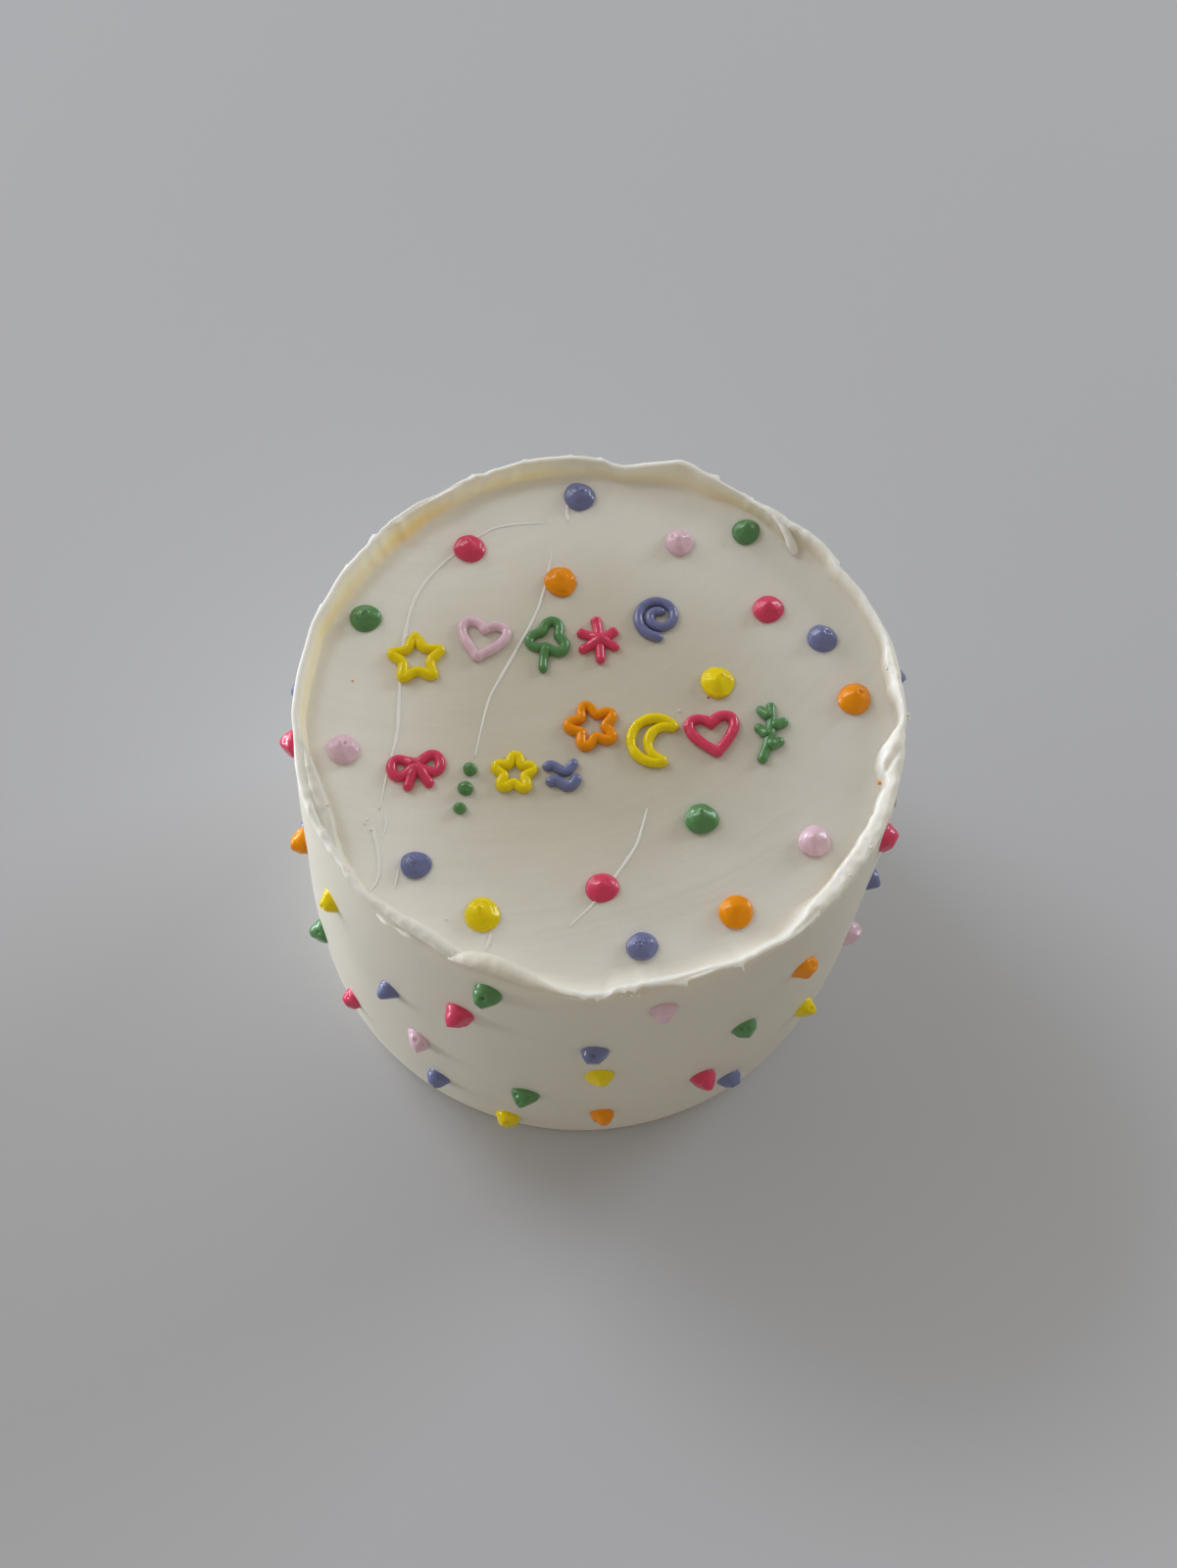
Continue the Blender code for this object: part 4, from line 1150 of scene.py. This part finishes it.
def creamFinish(name, subsurface):
    # Satin cream: faint broad clouds, painted paler at the top's edge and deeper in its middle, where the
    # middle is partly an icing tint; a painted warm glow in the hollow behind the rim and at the foot; a
    # painted highlight on the crest; painted shade that deepens the top towards +X; with tiny pores and the
    # spatula's strokes
    material, shader, link = newFinish(name, {
        "Subsurface Weight": subsurface,
        "Subsurface Radius": (1.0, 0.82, 0.55),
        "Subsurface Scale": 0.0034,
        "Specular IOR Level": 0.42,
    })
    place = link.node("TexCoord", output="Object")
    clouds = noise(link, place, creamLook["clouds"], 3.0)
    pores = noise(link, place, creamLook["pores"], 3.0)
    paintedWarmLight, crest, topside = (link.node("Attribute", {"attribute_name": mark}, output="Fac")
                              for mark in ("paintedWarmLight", "crest", "topside"))
    flat = link.node("VectorMath", {"operation": "MULTIPLY"}, {0: place, 1: (1, 1, 0)})
    reach = link.node("VectorMath", {"operation": "LENGTH"}, {0: flat}, 1)
    # painted light and shade: paler at the top's edge, deeper in its middle, where the middle's tone is partly
    # an icing tint
    middle = span(link, reach + 0.012 * clouds, creamLook["middleFrom"], creamLook["middleTo"], 1.0, 0.0)
    top = link.mix(middle, creamLook["topEdge"], creamLook["topMiddleTintAndShade"])
    colour = link.mix(topside, creamLook["wall"], top)
    # a painted warm glow behind the rim and at the foot
    colour = link.mix(paintedWarmLight, colour, creamLook["paintedWarmLight"])
    # a painted highlight on the crest, the folds, the nubs and the ridges, and painted paleness at the foot
    colour = link.mix(crest * 0.85, colour, creamLook["pale"])
    fromMiddle = link.node("SeparateXYZ", {}, {0: place})
    # random clouds of tone, times painted shade that darkens the top towards +X
    cloudsAndPaintedShade = span(link, clouds, 0.3, 0.7, 0.97, 1.0, "LINEAR")
    cloudsAndPaintedShade = cloudsAndPaintedShade * (1.0 - creamLook["paintedShadeRight"] * topside * fromMiddle)
    colour = link.mix(1.0, colour, link.node("CombineColor", {}, {0: cloudsAndPaintedShade, 1: cloudsAndPaintedShade, 2: cloudsAndPaintedShade}), "MULTIPLY")
    connect(colour, shader, "Base Color")
    connect(0.38 + 0.10 * clouds - 0.06 * crest, shader, "Roughness")
    aside = link.node("VectorMath", {"operation": "SUBTRACT"}, {0: flat, 1: creamLook["strokeCentre"]})
    sweep = link.node("VectorMath", {"operation": "LENGTH"}, {0: aside}, 1)
    strokePlace = link.node("CombineXYZ", {}, {
        0: sweep * creamLook["strokesAcross"], 1: clouds * 1.5, 2: reach * creamLook["strokesOutward"]})
    strokes = noise(link, strokePlace, 1.0, 2.0)
    broad = link.node("Bump", {}, {"Height": strokes * topside, "Strength": 0.30, "Distance": 0.0012})
    fine = link.node("Bump", {}, {
        "Height": pores * 0.6 + clouds, "Strength": 0.16, "Distance": 0.0004, "Normal": broad})
    connect(fine, shader, "Normal")
    return material


# Each icing: its colour, and the tint of its gloss
icingShades = {
    "blue": ((0.165, 0.185, 0.375), (1, 1, 1)),
    "crimson": ((0.76, 0.050, 0.135), (1, 0.8, 0.85)),
    "orange": ((1.0, 0.38, 0.001), (1, 0.6, 0.05)),
    "yellow": ((0.95, 0.74, 0.002), (1, 0.9, 0.15)),
    "green": ((0.10, 0.265, 0.088), (0.9, 1, 0.9)),
    "pink": ((0.84, 0.58, 0.67), (1, 1, 1)),
}
icingLook = {"streaks": 420.0, "streakBend": 1.2, "bubbles": 1100.0, "deep": 0.82, "pale": 1.12}


def icingFinish(name, colour, gloss):
    # Soft glossy icing: streaks of a paler and a deeper tone, and tiny bubbles
    material, shader, link = newFinish("icing_" + name, {
        "Subsurface Weight": 0.10,
        "Subsurface Radius": (1.0, 0.7, 0.5),
        "Subsurface Scale": 0.0010,
        "Specular IOR Level": 0.45,
        "Specular Tint": gloss + (1,),
        "Coat Roughness": 0.06,
        "Coat Tint": gloss + (1,),
    })
    place = link.node("TexCoord", output="Object")
    streak = noise(link, place, icingLook["streaks"], 4.0, icingLook["streakBend"])
    bubbles = link.node("TexVoronoi", {}, {"Vector": place, "Scale": icingLook["bubbles"]})
    deep = tuple(icingLook["deep"] * c for c in colour) + (1,)
    pale = tuple(min(1, icingLook["pale"] * c) for c in colour) + (1,)
    connect(link.mix(streak, deep, pale), shader, "Base Color")
    connect(0.24 + 0.14 * streak, shader, "Roughness")
    connect(0.25 + 0.35 * streak, shader, "Coat Weight")
    bump = link.node("Bump", {}, {"Height": streak + 0.4 * bubbles, "Strength": 0.14, "Distance": 0.0003})
    connect(bump, shader, "Normal")
    return material


# how strongly the nubs and the ridges carry the painted highlight
paintedHighlightShare = {"nubs": 0.8, "ridges": 1.1}


def makeCake():
    # The cream body with its folds, nubs and ridges, then one piece for each colour of icing
    softCream = creamFinish("cream", 0.35)
    fineCream = creamFinish("fineCream", 0.0)  # on thin lines, where light would leak out of the soft finish
    body, marks = creamBody()
    makePiece("creamBody", [body], softCream, "cream", marks)
    folds = [(pale, foldOfCream(stations, seeds["folds"] + i))
             for i, (pale, stations) in enumerate(creamFolds.values())]
    nubs = [(paintedHighlightShare["nubs"], pebble(*place, i)) for i, place in enumerate(nubPlaces)]
    ridges = [(paintedHighlightShare["ridges"], ridgeLine(*line, seeds["ridges"] + i))
              for i, line in enumerate(spatulaRidges)]
    for name, shapes in (("creamFolds", folds), ("creamNubs", nubs), ("spatulaRidges", ridges)):
        # folds, nubs and ridges carry the painted highlight and no painted warm glow
        pale = np.concatenate([np.full(len(shape[0]), level) for level, shape in shapes])
        marks = {"crest": pale, "paintedWarmLight": 0 * pale, "topside": 0 * pale}
        makePiece(name, [shape for _, shape in shapes], fineCream, "cream", marks)
    draw = np.random.default_rng(seeds["dots"])
    icing = dotsOnTop(draw) + dotsOnSide(draw) + everyBead()
    icing += [(colour, pebble(*place, seeds["specks"] + i)) for i, (colour, *place) in enumerate(speckPlaces)]
    for name, (colour, gloss) in icingShades.items():
        shapes = [shape for shapeColour, shape in icing if shapeColour == name]
        makePiece("icing_" + name, shapes, icingFinish(name, colour, gloss), "icing_" + name)
    print("cake made")


# Floor, light and camera

studio = {
    "floorSize": 24.0,
    "floorColour": (0.58, 0.588, 0.62, 1),
    "floorPaintedLight": (0.72, 0.74, 0.79, 1),  # painted light: paler towards the front right, where the cake's shadow falls
    "farTowards": (0.77, -0.64, 0),
    "farFrom": 0.10,
    "farTo": 0.38,
    "world": (0.372, 0.345, 0.305, 1),
    # name, degrees round from +X, degrees up, width and height in m, power in W, colour
    "lights": (
        ("keyLight", 140, 42, 1.2, 1.0, 25.0, (0.94, 0.99, 1.07)),
        ("softLight", 139, 23, 2.8, 0.8, 22.0, (0.94, 0.99, 1.07)),
        ("rightLight", 38, 19, 1.6, 1.2, 45.0, (0.88, 0.99, 1.11)),
        ("lowLight", 153, 3.2, 5.0, 0.42, 160.0, (0.92, 0.99, 1.09)),
    ),
    "lightDistance": 4.0,
    "cameraPlace": (1.3 * mm, -266.0 * mm, 603.1 * mm),
    "cameraRight": (0.99899, 0.0402, 0.02019),
    "cameraUp": (-0.04498, 0.89269, 0.44842),
    "lens": 49.905,
}


def makeFloor():
    # One large square with faint clouds of gloss, painted paler towards the front right to lift the cake's
    # shadow there
    half = studio["floorSize"] / 2
    corners = [(-half, -half, 0), (half, -half, 0), (half, half, 0), (-half, half, 0)]
    mesh = bpy.data.meshes.new("floor")
    mesh.from_pydata(corners, [], [(0, 1, 2, 3)])
    material, shader, link = newFinish("floor", {"Specular IOR Level": 0.3})
    place = link.node("TexCoord", output="Object")
    connect(0.55 + 0.1 * noise(link, place, 3.0, 2.0), shader, "Roughness")
    out = link.node("VectorMath", {"operation": "DOT_PRODUCT"}, {0: place, 1: studio["farTowards"]}, 1)
    far = span(link, out, studio["farFrom"], studio["farTo"], 0.0, 1.0)
    connect(link.mix(far, studio["floorColour"], studio["floorPaintedLight"]), shader, "Base Color")
    mesh.materials.append(material)
    floor = bpy.data.objects.new("floor", mesh)
    bpy.context.scene.collection.objects.link(floor)


def makeLights():
    # An even world, and area lights that face the cake
    world = bpy.data.worlds.new("studio")
    world.use_nodes = True
    world.node_tree.nodes["Background"].inputs["Color"].default_value = studio["world"]
    bpy.context.scene.world = world
    for name, angle, up, width, height, power, colour in studio["lights"]:
        light = bpy.data.lights.new(name, "AREA")
        light.shape = "RECTANGLE"
        light.size, light.size_y = width, height
        light.energy = power
        light.color = colour
        lamp = bpy.data.objects.new(name, light)
        way = turned(np.cos(np.radians(up)), angle, np.sin(np.radians(up)))
        lamp.location = studio["lightDistance"] * way
        lamp.rotation_euler = (-lamp.location).to_track_quat("-Z", "Y").to_euler()
        bpy.context.scene.collection.objects.link(lamp)


def makeCamera():
    # The photograph's viewing angle: right and up as fitted, squared to each other
    camera = bpy.data.objects.new("camera", bpy.data.cameras.new("camera"))
    camera.data.lens = studio["lens"]
    camera.data.sensor_width = 36
    camera.data.clip_start = 0.01
    right = Vector(studio["cameraRight"]).normalized()
    back = right.cross(Vector(studio["cameraUp"])).normalized()
    turn = Matrix((right, back.cross(right), back)).transposed()
    camera.matrix_world = Matrix.Translation(studio["cameraPlace"]) @ turn.to_4x4()
    bpy.context.scene.collection.objects.link(camera)
    bpy.context.scene.camera = camera
    bpy.context.scene.view_settings.view_transform = "Standard"


makeCake()
makeFloor()
makeLights()
makeCamera()
print("studio made")
